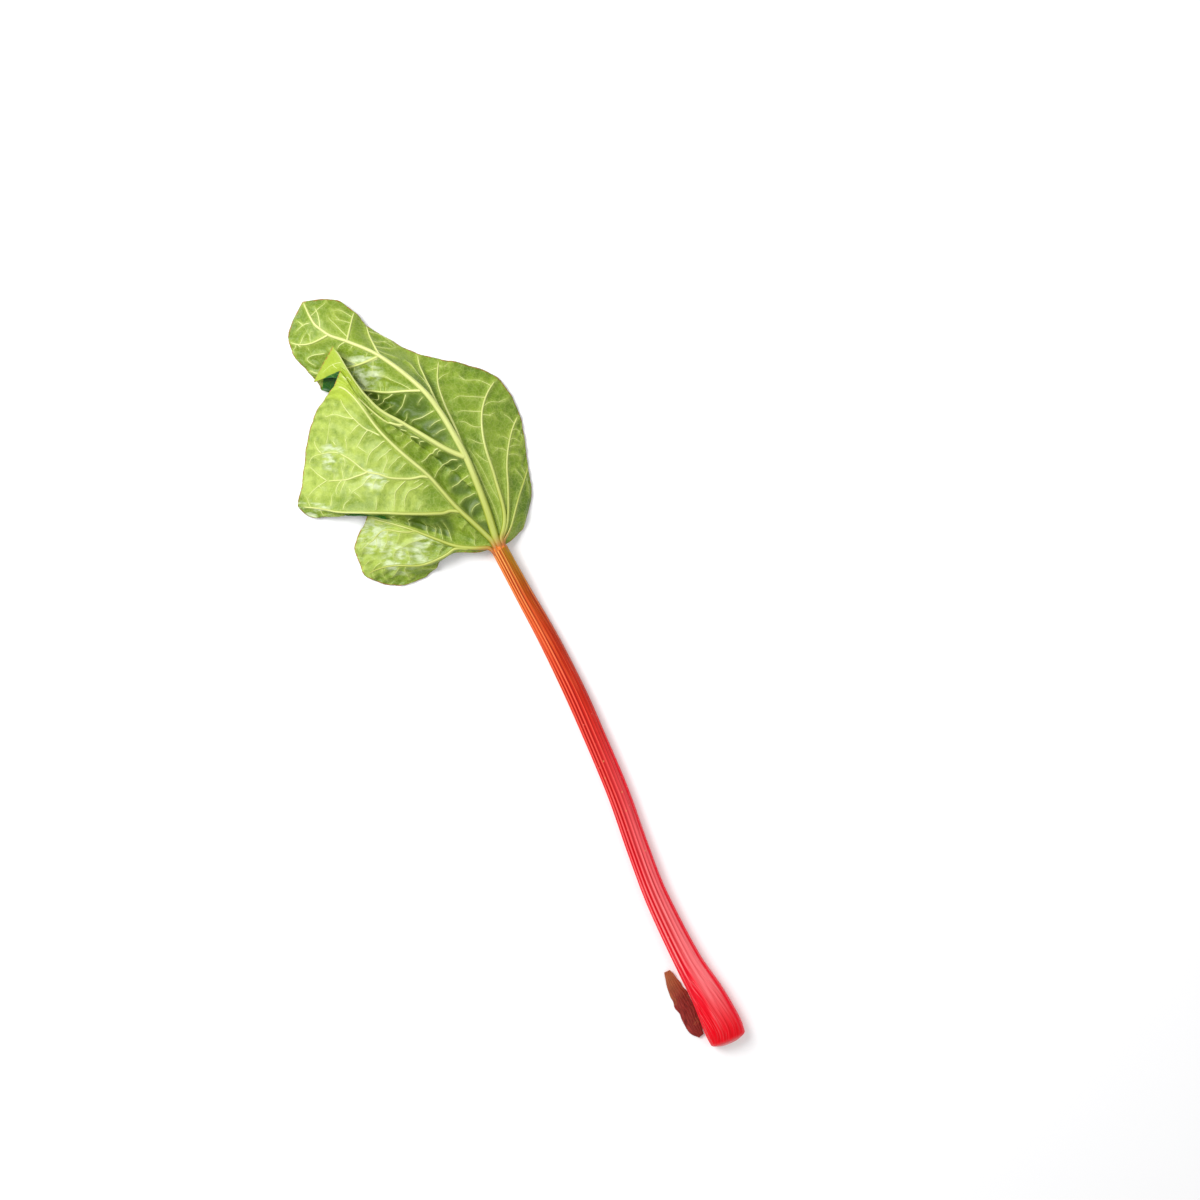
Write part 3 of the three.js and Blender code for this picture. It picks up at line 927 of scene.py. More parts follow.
@dataclass
class Sheet:
    """A half of the blade as a grid of points, one row for each place across the spokes.

    rise is how far relief lifts each point, and near is its distance to the nearest vein. The
    numbers after near steer how a spot is found on the sheet and how a vein is noted round its line.
    """

    side: Side
    spokes: Array
    columns: Array
    points: Array
    normals: Array = field(init=False)
    rise: Array = field(init=False)
    near: Array = field(init=False)
    no_vein: float = 99.0
    least_step: float = 1e-3
    facing_up: float = 0.1
    turned_away_cost: float = 3.0
    least_rank: float = 1e-2
    longest_shift: float = 0.7
    short_of_margin: float = 0.05
    note_samples: int = 8
    note_gap: float = 0.9
    note_run: int = 14
    spokes_about: float = 1.3
    columns_about: float = 1.2

    def __post_init__(self) -> None:
        """Find the normals of the bare sheet, which has no relief and no veins yet."""
        self.rise = np.zeros(self.points.shape[:2])
        self.near = np.full(self.points.shape[:2], self.no_vein)
        self.normals = self.find_normals(self.points)

    def find_normals(self, points: Array) -> Array:
        """The normals towards the leaf's underside, which lies up."""
        across = np.gradient(points, axis=0)
        out = np.gradient(points, axis=1)
        normals = unit(np.cross(out, across))
        normals[:, 0] = normals[:, 2]
        normals[:, 1] = normals[:, 2]
        return normals if self.side is Side.RIGHT else -normals

    def relax(self, rounds: int, strength: float) -> None:
        """Round the creases between spokes. The midrib is held, and the margin moves half as far.

        Args:
            rounds: How many times each point moves towards its neighbours.
            strength: The share of the way it moves each time.
        """
        for _ in range(rounds):
            for axis in (0, 1):
                moved = np.moveaxis(self.points, axis, 0)
                before, here, after = moved[:-2], moved[1:-1], moved[2:]
                near = np.linalg.norm(here - before, axis=-1, keepdims=True) + self.least_step
                far = np.linalg.norm(after - here, axis=-1, keepdims=True) + self.least_step
                middle = (before / near + after / far) / (1 / near + 1 / far)
                step = strength * (middle - here)
                if axis == 0:
                    step[:, 0] = 0.0
                    step[:, -1] *= 0.5
                moved[1:-1] = here + step
        self.normals = self.find_normals(self.points)

    def read(self, grid: Array, places: Array) -> Array:
        """Values of a grid at (spoke, column) places, read between its points."""
        row = np.interp(places[:, 0], self.spokes, np.arange(len(self.spokes)))
        column = np.interp(places[:, 1], self.columns, np.arange(len(self.columns)))
        r = np.minimum(row.astype(int), len(self.spokes) - 2)
        c = np.minimum(column.astype(int), len(self.columns) - 2)
        fr, fc = row - r, column - c
        if grid.ndim == 3:
            fr, fc = fr[:, None], fc[:, None]
        low = grid[r, c] * (1 - fc) + grid[r, c + 1] * fc
        high = grid[r + 1, c] * (1 - fc) + grid[r + 1, c + 1] * fc
        return low * (1 - fr) + high * fr

    def find(self, spots: Sequence[Pair], first: float, last: float) -> Array:
        """The (spoke, column) places of the sheet that lie over some spots.

        Args:
            spots: Places as (x, y).
            first: The lowest spoke to look among.
            last: The highest spoke to look among.

        Returns:
            One place for each spot.
        """
        rows = np.flatnonzero((self.spokes >= first) & (self.spokes <= last))
        part = self.points[rows]
        facing = self.normals[rows][..., 2]
        found = []
        for spot in spots:
            away = np.array(spot) - part[..., :2]
            turned_away = np.maximum(0.0, self.facing_up - facing)
            off = np.linalg.norm(away, axis=-1) + self.turned_away_cost * turned_away
            r, c = np.unravel_index(np.argmin(off), off.shape)
            up = min(r + 1, len(rows) - 1)
            out = min(c + 1, len(self.columns) - 1)
            across = part[up, c, :2] - part[up - 1, c, :2]
            outward = part[r, out, :2] - part[r, out - 1, :2]
            spoke_step = self.spokes[rows[up]] - self.spokes[rows[up - 1]]
            column_step = self.columns[out] - self.columns[out - 1]
            ways = np.stack([across, outward], axis=1)
            shift = np.linalg.lstsq(ways, away[r, c], rcond=self.least_rank)[0]
            shift = np.clip(shift, -self.longest_shift, self.longest_shift)
            place = np.array([self.spokes[rows[r]], self.columns[c]])
            place = place + shift * np.array([spoke_step, column_step])
            found.append(np.clip(place, [first, 0.0], [last, self.columns[-1] - self.short_of_margin]))
        return np.array(found)

    def surface(self, places: Array) -> tuple[Array, Array]:
        """Points on the raised underside of the blade at places, and the normals there."""
        normals = unit(self.read(self.normals, places))
        rise = self.read(self.rise, places)[:, None]
        return self.read(self.points, places) + normals * rise, normals

    def note_vein(self, path: Path) -> None:
        """Lower the stored distance to the nearest vein round one vein."""
        line = path.fine(self.note_samples)
        travelled = travelled_along(self.read(self.points, line))
        count = max(2, int(travelled[-1] / self.note_gap))
        places = read_line(line, travelled, np.linspace(0, travelled[-1], count))
        spots = self.read(self.points, places)
        half = 0.5 * np.linspace(path.root, path.end, count)
        for start in range(0, count, self.note_run):
            part = slice(start, start + self.note_run + 1)
            spoke, column = places[part].T
            rows = np.abs(self.spokes - spoke.mean()) <= self.spokes_about + np.ptp(spoke)
            columns = self.columns >= column.min() - self.columns_about
            columns &= self.columns <= column.max() + self.columns_about
            if not rows.any() or not columns.any():
                continue
            window = np.ix_(rows, columns)
            off = np.linalg.norm(self.points[window][:, :, None] - spots[part], axis=-1) - half[part]
            self.near[window] = np.minimum(self.near[window], off.min(axis=-1))


@dataclass
class BladeHalf:
    """One half of the blade, drawn as a fan of spokes.

    Depths, widths and reaches are in millimetres. cells counts the columns of the drawn spokes, and
    cell_parts the fine columns in each. folded holds the first and last spoke of the part in folds.
    """

    side: Side
    spokes: tuple[Spoke, ...]
    trunk_cells: tuple[float, ...] = (0.0, 4.0, 12.0, 21.0, 31.0)
    cells: int = 14
    roundness: float = 0.35
    open_roundness: float = 0.85
    folded: Pair = (5.2, 17.5)
    row_gap: float = 1.45
    cell_parts: tuple[int, ...] = (2, 6, 6, 7) + (9,) * 10
    relax_rounds: int = 7
    relax_strength: float = 0.5
    fold_blend: float = 0.8
    midrib_root: float = 8.0
    midrib_end: float = 1.8
    midrib_taper: float = 0.7
    crimp_depth: float = 0.9
    crimp_length: float = 9.0
    crimp_fade_mm: float = 40.0
    crimp_drift_mm: float = 17.0
    crimp_drift: float = 1.8
    crimp_unevenness: float = 0.8
    crimp_seed: Pair = (3.1, 0.9)
    crimp_power: int = 8
    scallop: float = 0.8
    scallop_power: int = 10
    scallop_when_calm: float = 0.4
    inward_columns: int = 8
    ragged_mm: float = 2.3
    ragged_depth: float = 0.5
    ragged_seed: Pair = (8.4, 0.2)
    least_height: float = 0.8
    pucker_depth: float = 0.9
    pucker_reach: float = 4.2
    crumple_depth: float = 1.3
    crumple_per_mm: float = 0.055
    wrinkle_depth: float = 0.3
    wrinkle_per_mm: float = 0.19
    relief_from_mm: float = 25.0
    rim_mm: float = 5.0
    fillet_height: float = 0.5
    fillet_reach: float = 1.3
    calm_parts: tuple[tuple[float, float, float, float], ...] = (
        (12.3, 17.2, 9.0, 1.0),
        (6.8, 12.5, 4.0, 0.4),
    )
    calm_right: float = 0.6
    calm_spoke_blend: float = 0.6
    calm_column_blend: float = 2.0

    def midrib_width(self, share: float) -> float:
        """The midrib's width at a share of its length."""
        return self.midrib_root + (self.midrib_end - self.midrib_root) * share**self.midrib_taper

    def fine_columns(self) -> Array:
        """The places of the fine columns, counted in cells."""
        parts = [np.linspace(i, i + 1, n, endpoint=False) for i, n in enumerate(self.cell_parts)]
        return np.concatenate(parts + [np.array([float(self.cells)])])

    def drawn_spoke(self, spoke: Spoke, share: float, columns: Array) -> Array:
        """A spoke's points at each fine column."""
        line = Spline(np.array(spoke.route, float))
        length = line.length()
        fixed = [0.0, self.midrib_width(share) / 2] if share else list(self.trunk_cells)
        count = self.cells + 1 - len(fixed)
        even = [fixed[-1] + (length - fixed[-1]) * (c + 1) / count for c in range(count)]
        return line.along(np.interp(columns, np.arange(self.cells + 1), fixed + even))

    def sheet(self) -> Sheet:
        """The half as a fine sheet, with its creases rounded and its margin crimped."""
        starts = np.array([spoke.route[0] for spoke in self.spokes], float)
        travelled = travelled_along(starts)
        shares = travelled / travelled[-1]
        columns = self.fine_columns()
        drawn = np.array([self.drawn_spoke(s, shares[k], columns) for k, s in enumerate(self.spokes)])
        last = len(self.spokes) - 1
        leaving = int(np.flatnonzero(travelled == 0.0)[-1])
        gaps = np.linalg.norm(np.diff(drawn, axis=0), axis=-1).max(axis=1)
        counts = [2 * max(1, int(math.ceil(gap / self.row_gap / 2))) for gap in gaps]
        places = [np.linspace(k, k + 1, n, endpoint=False) for k, n in enumerate(counts)]
        spokes = np.concatenate(places + [np.array([float(last)])])
        before = np.minimum(spokes.astype(int), last - 1)
        part = (spokes - before)[:, None, None]
        straight = drawn[before] * (1 - part) + drawn[before + 1] * part
        curved = np.stack([Spline(drawn[:, c]).at(spokes / last) for c in range(len(columns))], axis=1)
        share = (self.rounding(spokes)[:, None] * smooth(columns / self.cells))[..., None]
        points = straight * (1 - share) + curved * share
        spine = Spline(starts[leaving:])
        points[:, 0] = spine.at(np.maximum(0.0, spokes - leaving) / (last - leaving))
        made = Sheet(self.side, spokes, columns, points)
        made.relax(self.relax_rounds, self.relax_strength)
        self.crimp(made)
        made.normals = made.find_normals(made.points)
        return made

    def rounding(self, spokes: Array) -> Array:
        """How round the margin runs from spoke to spoke: less so where the blade lies in folds."""
        if self.side is Side.RIGHT:
            return np.full(len(spokes), self.open_roundness)
        first, last = self.folded
        before, after = (smooth(off / self.fold_blend) for off in (first - spokes, spokes - last))
        flat = np.maximum(before, after)
        return self.roundness + (self.open_roundness - self.roundness) * flat

    def loose(self, sheet: Sheet) -> Array:
        """The share of the relief that each point takes: less in the calm parts and on the right half.

        Each calm part is its first spoke, its last spoke, its first column and how much it calms.
        """
        if self.side is Side.RIGHT:
            return np.full(sheet.points.shape[:2], self.calm_right)
        share = np.ones(sheet.points.shape[:2])
        for first, last, column, calm in self.calm_parts:
            rows = smooth((sheet.spokes - first) / self.calm_spoke_blend)
            rows = rows * smooth((last - sheet.spokes) / self.calm_spoke_blend)
            columns = smooth((sheet.columns - column) / self.calm_column_blend)
            share = np.minimum(share, 1.0 - calm * rows[:, None] * columns[None])
        return share

    def crimp(self, sheet: Sheet) -> None:
        """Swing the outer part of the sheet up and down along its margin, and scallop the margin."""
        edge = sheet.points[:, -1]
        along = travelled_along(edge)
        fade = smooth(along / self.crimp_fade_mm) * smooth((along[-1] - along) / self.crimp_fade_mm)
        wander = noise_row(along / self.crimp_drift_mm, self.crimp_seed)
        turn = along / self.crimp_length * 2 * math.pi + self.crimp_drift * wander
        out = sheet.columns / self.cells
        swing = fade * self.crimp_depth * np.sin(turn) * (1.0 + self.crimp_unevenness * wander)
        inward = unit(sheet.points[:, -self.inward_columns] - edge)
        bite = fade * self.scallop * (1 - np.cos(turn * 0.5 + wander)) / 2
        ragged = noise_row(along / self.ragged_mm, self.ragged_seed)
        bite = bite + fade * self.ragged_depth * np.abs(ragged)
        loose = self.loose(sheet)
        sheet.points[..., 2] += swing[:, None] * out**self.crimp_power * loose
        calmed = self.scallop_when_calm + (1.0 - self.scallop_when_calm) * loose
        bitten = bite[:, None] * out**self.scallop_power * calmed
        sheet.points += bitten[..., None] * inward[:, None]
        sheet.points[..., 2] = np.maximum(sheet.points[..., 2], self.least_height)

    def relief(self, sheet: Sheet) -> None:
        """Sink the blade between its veins and crumple it a little."""
        away = np.maximum(sheet.near, 0.0)
        puff = -self.pucker_depth * smooth(away / self.pucker_reach)
        flat = sheet.points.reshape(-1, 3)
        crumple = noise_at(flat, self.crumple_per_mm).reshape(sheet.rise.shape)
        wrinkle = noise_at(flat, self.wrinkle_per_mm).reshape(sheet.rise.shape)
        from_start, from_margin = (
            np.linalg.norm(sheet.points - sheet.points[:, [end]], axis=-1) for end in (0, -1)
        )
        room = smooth(from_start / self.relief_from_mm)
        rim = smooth(from_margin / self.rim_mm)
        fillet = self.fillet_height * np.exp(-((away / self.fillet_reach) ** 2))
        rumple = self.crumple_depth * crumple + self.wrinkle_depth * wrinkle
        sheet.rise = (puff + fillet) * rim * room + room * rumple
        sheet.rise *= self.loose(sheet)


@dataclass
class VeinDrawer:
    """Plans the veins of a half: its ribs, listed side ribs, and the rungs between ribs.

    A pair is the range of a random draw, a height is a share of the vein's width, and what stops
    short of the margin does so by a share of a column.
    """

    half: BladeHalf
    sheet: Sheet
    rib_tall: float = 0.55
    side_rib_tall: float = 0.5
    small_tall: float = 0.45
    rib_places: int = 16
    rib_stops_short: float = 0.35
    fork_search: float = 0.4
    rung_tall: float = 0.4
    rung_gap: float = 8.5
    rung_width: float = 0.75
    rung_sizes: Pair = (0.7, 1.15)
    rung_end: float = 0.4
    rung_samples: int = 120
    bare_start: float = 2.0
    rung_from: float = 0.6
    rung_to: float = 0.8
    first_gap: Pair = (0.3, 1.0)
    next_gap: Pair = (0.6, 1.6)
    wide_gap: float = 12.0
    reach_in_wide: Pair = (0.3, 0.62)
    reach_in_narrow: Pair = (0.5, 0.95)
    lean_degrees: Pair = (8.0, 42.0)
    rung_steps: tuple[float, ...] = (0.0, 0.3, 0.6, 0.85, 1.0)
    sway: float = 0.16
    first_column: float = 0.3
    short_of_margin: float = 0.25
    clear_of: float = 1.6
    least_gap: float = 6.0
    fork_chance: float = 0.45
    fork_least_mm: float = 7.0
    fork_turn_mm: float = 4.0
    fork_steps: tuple[float, ...] = (0.0, 0.55, 1.0)
    fork_root: float = 0.75
    fork_end: float = 0.35
    chance: np.random.Generator = field(default_factory=lambda: np.random.default_rng(RANDOM_SEED))

    def ribs(self, forks: dict[int, "Fork"], approaches: dict[int, tuple[Triple, ...]]) -> list[Path]:
        """The ribs along spokes.

        Args:
            forks: For each spoke whose rib leaves another rib, where it does.
            approaches: For each spoke whose rib comes up out of the stalk, the points it passes there.

        Returns:
            The ribs.
        """
        made = []
        for k, spoke in enumerate(self.half.spokes):
            if spoke.rib is None:
                continue
            start, root, end = spoke.rib
            fork = forks.get(k)
            if start and fork is None:
                continue
            first = fork.joins * self.half.cells if fork else 0.0
            columns = np.linspace(first, self.half.cells - self.rib_stops_short, self.rib_places)
            places = np.column_stack([np.full(len(columns), float(k)), columns])
            if fork:
                among = (fork.parent - self.fork_search, fork.parent + self.fork_search)
                places = np.vstack([self.sheet.find([fork.spot], *among), places])
            approach = approaches.get(k, ()) if spoke.route[0] == JUNCTION else ()
            made.append(Path(places, root, end, self.rib_tall, approach))
        return made

    def traced(self, group: Sequence["SideRib"]) -> list[Path]:
        """Side ribs given by the spots they pass over."""
        return [
            Path(self.sheet.find(rib.spots, *rib.among), rib.root, rib.end, self.side_rib_tall)
            for rib in group
        ]

    def grouped(self, groups: Sequence["VeinGroup"]) -> list[Path]:
        """Small veins given by the spots they pass over."""
        return [
            Path(self.sheet.find(spots, *group.among), *size, self.small_tall)
            for group in groups
            if group.side is self.half.side
            for size, lines in group.sized()
            for spots in lines
        ]

    def rungs(self) -> list[Path]:
        """Small wandering veins from each rib towards the next, where there are none yet."""
        ribs = [k for k, spoke in enumerate(self.half.spokes) if spoke.rib is not None]
        ribs = sorted(set(ribs) | {0, len(self.half.spokes) - 1})
        made = []
        for low, high in zip(ribs, ribs[1:]):
            for here, there in ((low, high), (high, low)):
                made += self.rungs_from(here, there)
        return made

    def rungs_from(self, here: int, there: int) -> list[Path]:
        """Small veins that leave one rib for another.

        Args:
            here: The spoke of the rib they leave.
            there: The spoke of the rib they run towards.

        Returns:
            The veins.
        """
        spoke = self.half.spokes[here]
        start = spoke.rib[0] * self.half.cells if spoke.rib else self.bare_start
        columns = np.linspace(start + self.rung_from, self.half.cells - self.rung_to, self.rung_samples)
        line, other = (
            self.sheet.read(self.sheet.points, np.column_stack([np.full(len(columns), float(k)), columns]))
            for k in (here, there)
        )
        travelled = travelled_along(line)
        apart = np.linalg.norm(other[None] - line[:, None], axis=-1)
        wide = apart.min(axis=1)
        facing = columns[apart.argmin(axis=1)]
        per_column = travelled[-1] / (columns[-1] - columns[0])
        steps = np.array(self.rung_steps)
        made = []
        at = self.rung_gap * self.chance.uniform(*self.first_gap)
        while at < travelled[-1]:
            c, gap, facing_here = (float(np.interp(at, travelled, row)) for row in (columns, wide, facing))
            at += self.rung_gap * self.chance.uniform(*self.next_gap)
            if gap < self.least_gap:
                continue
            reaches = self.reach_in_wide if gap > self.wide_gap else self.reach_in_narrow
            reach = self.chance.uniform(*reaches)
            lean = math.tan(math.radians(self.chance.uniform(*self.lean_degrees))) * gap * reach / per_column
            sway = np.array([0.0, *self.chance.uniform(-self.sway, self.sway, len(steps) - 1)])
            spoke_at = here + reach * (there - here) * steps
            column_at = c + (facing_here - c) * reach * steps + lean * (steps + sway)
            column_at = np.clip(column_at, self.first_column, self.half.cells - self.short_of_margin)
            places = np.column_stack([spoke_at, column_at])
            if self.sheet.read(self.sheet.near, places[1:]).min() < self.clear_of:
                continue
            width = self.rung_width * self.chance.uniform(*self.rung_sizes)
            made.append(Path(places, width, width * self.rung_end, self.rung_tall))
            self.sheet.note_vein(made[-1])
            if self.chance.uniform() < self.fork_chance and gap * reach > self.fork_least_mm:
                turn = self.chance.choice([-1.0, 1.0]) * self.fork_turn_mm / per_column
                branch = places[2:].copy()
                branch[:, 1] += np.array(self.fork_steps) * turn
                branch = np.clip(branch, 0.0, self.ends())
                made.append(Path(branch, width * self.fork_root, width * self.fork_end, self.rung_tall))
                self.sheet.note_vein(made[-1])
        return made

    def ends(self) -> Pair:
        """The last spoke and the last column a vein may reach."""
        return len(self.half.spokes) - 1.0, self.half.cells - self.short_of_margin


@dataclass(frozen=True)
class Fork:
    """Where a rib leaves its parent: the spot, the parent's spoke, and the share of its own spoke.

    The rib follows its own spoke from that share outwards.
    """

    spot: Pair
    parent: int
    joins: float


@dataclass(frozen=True)
class SideRib:
    """A listed side rib: the spots it passes over, its widths, and the spokes it lies among."""

    spots: tuple[Pair, ...]
    root: float
    end: float
    among: Pair


VeinLines = tuple[tuple[Pair, ...], ...]


@dataclass(frozen=True)
class VeinGroup:
    """Small veins listed in three sizes, and the half and the spokes they all lie among."""

    side: Side
    among: Pair
    strong: VeinLines = ()
    middling: VeinLines = ()
    fine: VeinLines = ()

    def sized(self) -> tuple[tuple[Pair, VeinLines], ...]:
        """The lines of each size, with their root and end widths."""
        return (STRONG_VEIN, self.strong), (MIDDLING_VEIN, self.middling), (FINE_VEIN, self.fine)


@dataclass(frozen=True)
class Patch:
    """A round patch of the blade: its middle, its radius, and the spokes it lies among."""

    spot: Pair
    radius: float
    among: Pair


@dataclass
class Leaf:
    """The leaf: two halves of the blade, and the ribs and veins raised from its underside.

    Names with around count the points in a ring of a rod, and names with tip shape its far end.
    """

    halves: dict[Side, tuple[Spoke, ...]]
    side_ribs: dict[Side, tuple[SideRib, ...]]
    forks: dict[Side, dict[int, Fork]]
    approaches: dict[Side, dict[int, tuple[Triple, ...]]]
    vein_groups: tuple[VeinGroup, ...]
    patches: dict[str, tuple[Patch, ...]]
    thickness: float = 0.6
    over_floor: float = 0.05
    slot: str = "leaf_blade"
    node: str = "leaf"
    around: int = 14
    midrib_more_around: int = 6
    vein_around: int = 8
    step: float = 0.9
    fine_places: int = 12
    midrib_extra: float = 0.2
    midrib_half: float = 2.0
    midrib_tall: float = 0.5
    midrib_end: float = 0.4
    midrib_end_share: float = 0.05
    midrib_column: int = 6
    midrib_upright: float = 1.2
    vein_halo: float = 0.9
    first_row_edge: float = 0.3
    patch_blend: float = 0.5
    taper: float = 1.35
    tip_width: float = 0.35
    tip_sink: float = 0.35
    tip_mm: float = 4.0
    tip_widths: float = 3.0
    clear_of_junction: float = 7.0
    stalk_share: float = 0.45
    swell_reach: float = 1.3
    least_swell: float = 0.1
    rod_rounds: int = 6
    rod_roundness: float = 0.85
    rod_depth: float = 0.28
    girth: float = 2.6

    def build(self) -> list[Object]:
        """Build both halves of the blade, the ribs and the veins.

        Returns:
            The objects.
        """
        ribs = Surface("leaf_ribs")
        veins = Surface("leaf_veins")
        made = []
        for side, spokes in self.halves.items():
            half = BladeHalf(side, spokes)
            sheet = half.sheet()
            drawer = VeinDrawer(half, sheet)
            main = drawer.ribs(self.forks[side], self.approaches[side])
            main += drawer.traced(self.side_ribs[side])
            small = drawer.grouped(self.vein_groups)
            self.note_midrib(sheet)
            for path in main + small:
                sheet.note_vein(path)
            small += drawer.rungs()
            half.relief(sheet)
            made.append(self.blade(half, sheet))
            for path in main:
                self.tube(ribs, sheet, path, self.around)
            for path in small:
                self.tube(veins, sheet, path, self.vein_around)
            if side is Side.LEFT:
                self.midrib(ribs, half, sheet)
        made.append(ribs.build([RibFinish().material()], self.slot, self.node))
        made.append(veins.build([VEIN_FINISH.material()], self.slot, self.node))
        return made

    def note_midrib(self, sheet: Sheet) -> None:
        """Lower the distance to the nearest vein beside the midrib."""
        off = np.linalg.norm(sheet.points - sheet.points[:, :1], axis=-1) - self.midrib_half
        leaving = sheet.spokes > 0
        sheet.near[leaving] = np.minimum(sheet.near[leaving], off[leaving])

    def blade(self, half: BladeHalf, sheet: Sheet) -> Object:
        """One half of the blade as a closed thin body.

        Args:
            half: The half's sizes.
            sheet: Its sheet, with the relief worked out.

        Returns:
            The object.
        """
        name = "leaf_blade_" + sheet.side.value
        surface = Surface(name)
        turned = sheet.side is Side.LEFT
        face = sheet.points + sheet.normals * (self.thickness / 2 + sheet.rise)[..., None]
        face[..., 2] = np.maximum(face[..., 2], self.thickness)
        back = face - sheet.normals * self.thickness
        back[..., 2] = np.maximum(back[..., 2], self.over_floor)
        at_junction = np.linalg.norm(sheet.points[:, 0] - sheet.points[0, 0], axis=-1) < SAME_POINT
        leaving = int(np.flatnonzero(at_junction)[-1])
        face[:leaving, 0] = face[leaving, 0]
        back[:leaving, 0] = back[leaving, 0]
        rows, columns = sheet.rise.shape
        near = np.exp(-np.maximum(sheet.near, 0.0) / self.vein_halo)
        out = np.linalg.norm(np.diff(sheet.points, axis=1), axis=-1)
        edge = np.concatenate([np.cumsum(out[:, ::-1], axis=1)[:, ::-1], np.zeros((rows, 1))], axis=1)
        first = np.linalg.norm(sheet.points - sheet.points[:1], axis=-1)
        numbers = {
            "near_vein": near,
            "edge_mm": np.minimum(edge, first + self.first_row_edge),
            # how far the blade sinks between veins, which the underside paints darker as shade
            "sunk": smooth(sheet.near / half.pucker_reach),
            **{name: self.patched(sheet, group) for name, group in self.patches.items()},
        }
        stored = {name: values.ravel() for name, values in numbers.items()}
        surface.add(face.reshape(-1, 3), grid_faces(rows, columns, turned), 0, **stored)
        start = surface.add(back.reshape(-1, 3), grid_faces(rows, columns, not turned), 1, **stored)
        self.close_rim(surface, (rows, columns), leaving, start, turned)
        finishes = [LeafUndersideFinish().material(), LeafUpperFinish().material()]
        return surface.build(finishes, self.slot, self.node)

    def patched(self, sheet: Sheet, group: Sequence[Patch]) -> Array:
        """How far each point of the left half lies inside some patches, from 0 to 1."""
        inside = np.zeros(sheet.rise.shape)
        if sheet.side is Side.RIGHT:
            return inside
        for patch in group:
            rows = (sheet.spokes >= patch.among[0]) & (sheet.spokes <= patch.among[1])
            off = np.linalg.norm(sheet.points[..., :2] - np.array(patch.spot), axis=-1)
            share = smooth((patch.radius - off) / (self.patch_blend * patch.radius)) * rows[:, None]
            inside = np.maximum(inside, share)
        return inside

    def close_rim(
        self, surface: Surface, shape: tuple[int, int], leaving: int, start: int, turned: bool
    ) -> None:
        """Join the rim of a half's face to the rim of its back.

        Args:
            surface: The mesh that holds both.
            shape: Rows and columns of points in each.
            leaving: The last row that starts at the junction: the rim has no length before it.
            start: The first point of the back.
            turned: True on the left half.
        """
        rows, columns = shape
        ways = [
            np.arange(rows) * columns + columns - 1,
            np.arange(columns),
            (rows - 1) * columns + np.arange(columns)[::-1],
            np.arange(leaving, rows)[::-1] * columns,
        ]
        for way in ways:
            quads = np.stack([way[:-1], way[:-1] + start, way[1:] + start, way[1:]], axis=1)
            surface.join(quads, 0, turned)

    def tube(self, surface: Surface, sheet: Sheet, path: Path, around: int) -> None:
        """Add a tapered half-sunk rod along a vein.

        Args:
            surface: The mesh it goes into.
            sheet: The half it lies on.
            path: The vein.
            around: Points in a ring.
        """
        spots, normals = sheet.surface(path.fine(self.fine_places))
        emerging = 0
        if path.approach:
            away = np.linalg.norm(spots - np.array(JUNCTION), axis=1)
            first = int(np.argmax(away > self.clear_of_junction))
            lead = Spline(np.vstack([path.approach, spots[first : first + 2]])).even(self.step)[:-2]
            emerging = len(lead)
            up = np.linspace(0, 1, emerging)[:, None]
            turning = unit((1 - up) * np.array([0.0, 0.0, 1.0]) + up * normals[first])
            normals = np.vstack([turning, normals[first:]])
            spots = np.vstack([lead, spots[first:]])
        travelled = travelled_along(spots)
        count = max(4, int(travelled[-1] / self.step) + 1)
        even = np.linspace(0, travelled[-1], count)
        centre = read_line(spots, travelled, even)
        normal = unit(read_line(normals, travelled, even))
        width = path.end + (path.root - path.end) * np.linspace(1, 0, count) ** self.taper
        tip = smooth((travelled[-1] - even) / max(self.tip_mm, self.tip_widths * path.end))
        width = width * (self.tip_width + (1 - self.tip_width) * tip)
        width = width * self.swell(even, self.swell_reach * emerging * self.step + self.least_swell)
        sink = (1 - tip) * self.tip_sink * path.end
        centre = centre + normal * (self.thickness / 2 - sink)[:, None]
        self.rod(surface, centre, normal, width, path.tall, around)

    def swell(self, travelled: Array, reach: float) -> Array:
        """The share of its width that a rib has as it comes up out of the stalk.

        Args:
            travelled: Places along the rib.
            reach: Where it has its whole width.

        Returns:
            The share at each place.
        """
        return self.stalk_share + (1 - self.stalk_share) * smooth(travelled / reach)

    def rod(
        self, surface: Surface, centre: Array, normal: Array, width: Array, tall: float, around: int
    ) -> None:
        """Add a rod of changing width along a line.

        Args:
            surface: The mesh it goes into.
            centre: The line on the blade's face.
            normal: The way up from the blade at each point of the line.
            width: The rod's width at each point.
            tall: Its height over the blade as a share of its width.
            around: Points in a ring.
        """
        for _ in range(self.rod_rounds):
            centre[1:-1] += 0.5 * ((centre[:-2] + centre[2:]) / 2 - centre[1:-1])
            normal[1:-1] = unit((normal[:-2] + normal[2:]) / 2 + normal[1:-1])
        along = unit(np.gradient(centre, axis=0))
        side = unit(np.cross(along, normal))
        normal = unit(np.cross(side, along))
        angle = np.arange(around) / around * 2 * math.pi
        across = np.cos(angle)
        up = np.sin(angle)
        lift = np.where(up > 0, np.abs(up) ** self.rod_roundness * tall, -np.abs(up) * self.rod_depth)
        ring = (
            centre[:, None]
            + side[:, None] * (across * 0.5)[None, :, None] * width[:, None, None]
            + normal[:, None] * lift[None, :, None] * width[:, None, None]
        )
        travelled = travelled_along(centre)
        arc = angle[None, :] / (2 * math.pi) * (width * self.girth)[:, None]
        skin = np.stack([arc, np.repeat(travelled[:, None], around, 1), np.zeros_like(arc)], axis=-1)
        away = unit(np.array(JUNCTION[:2]) - np.array(STALK_PLACES[1][:2]))
        from_stalk = (ring[..., :2] - np.array(JUNCTION[:2])) @ away
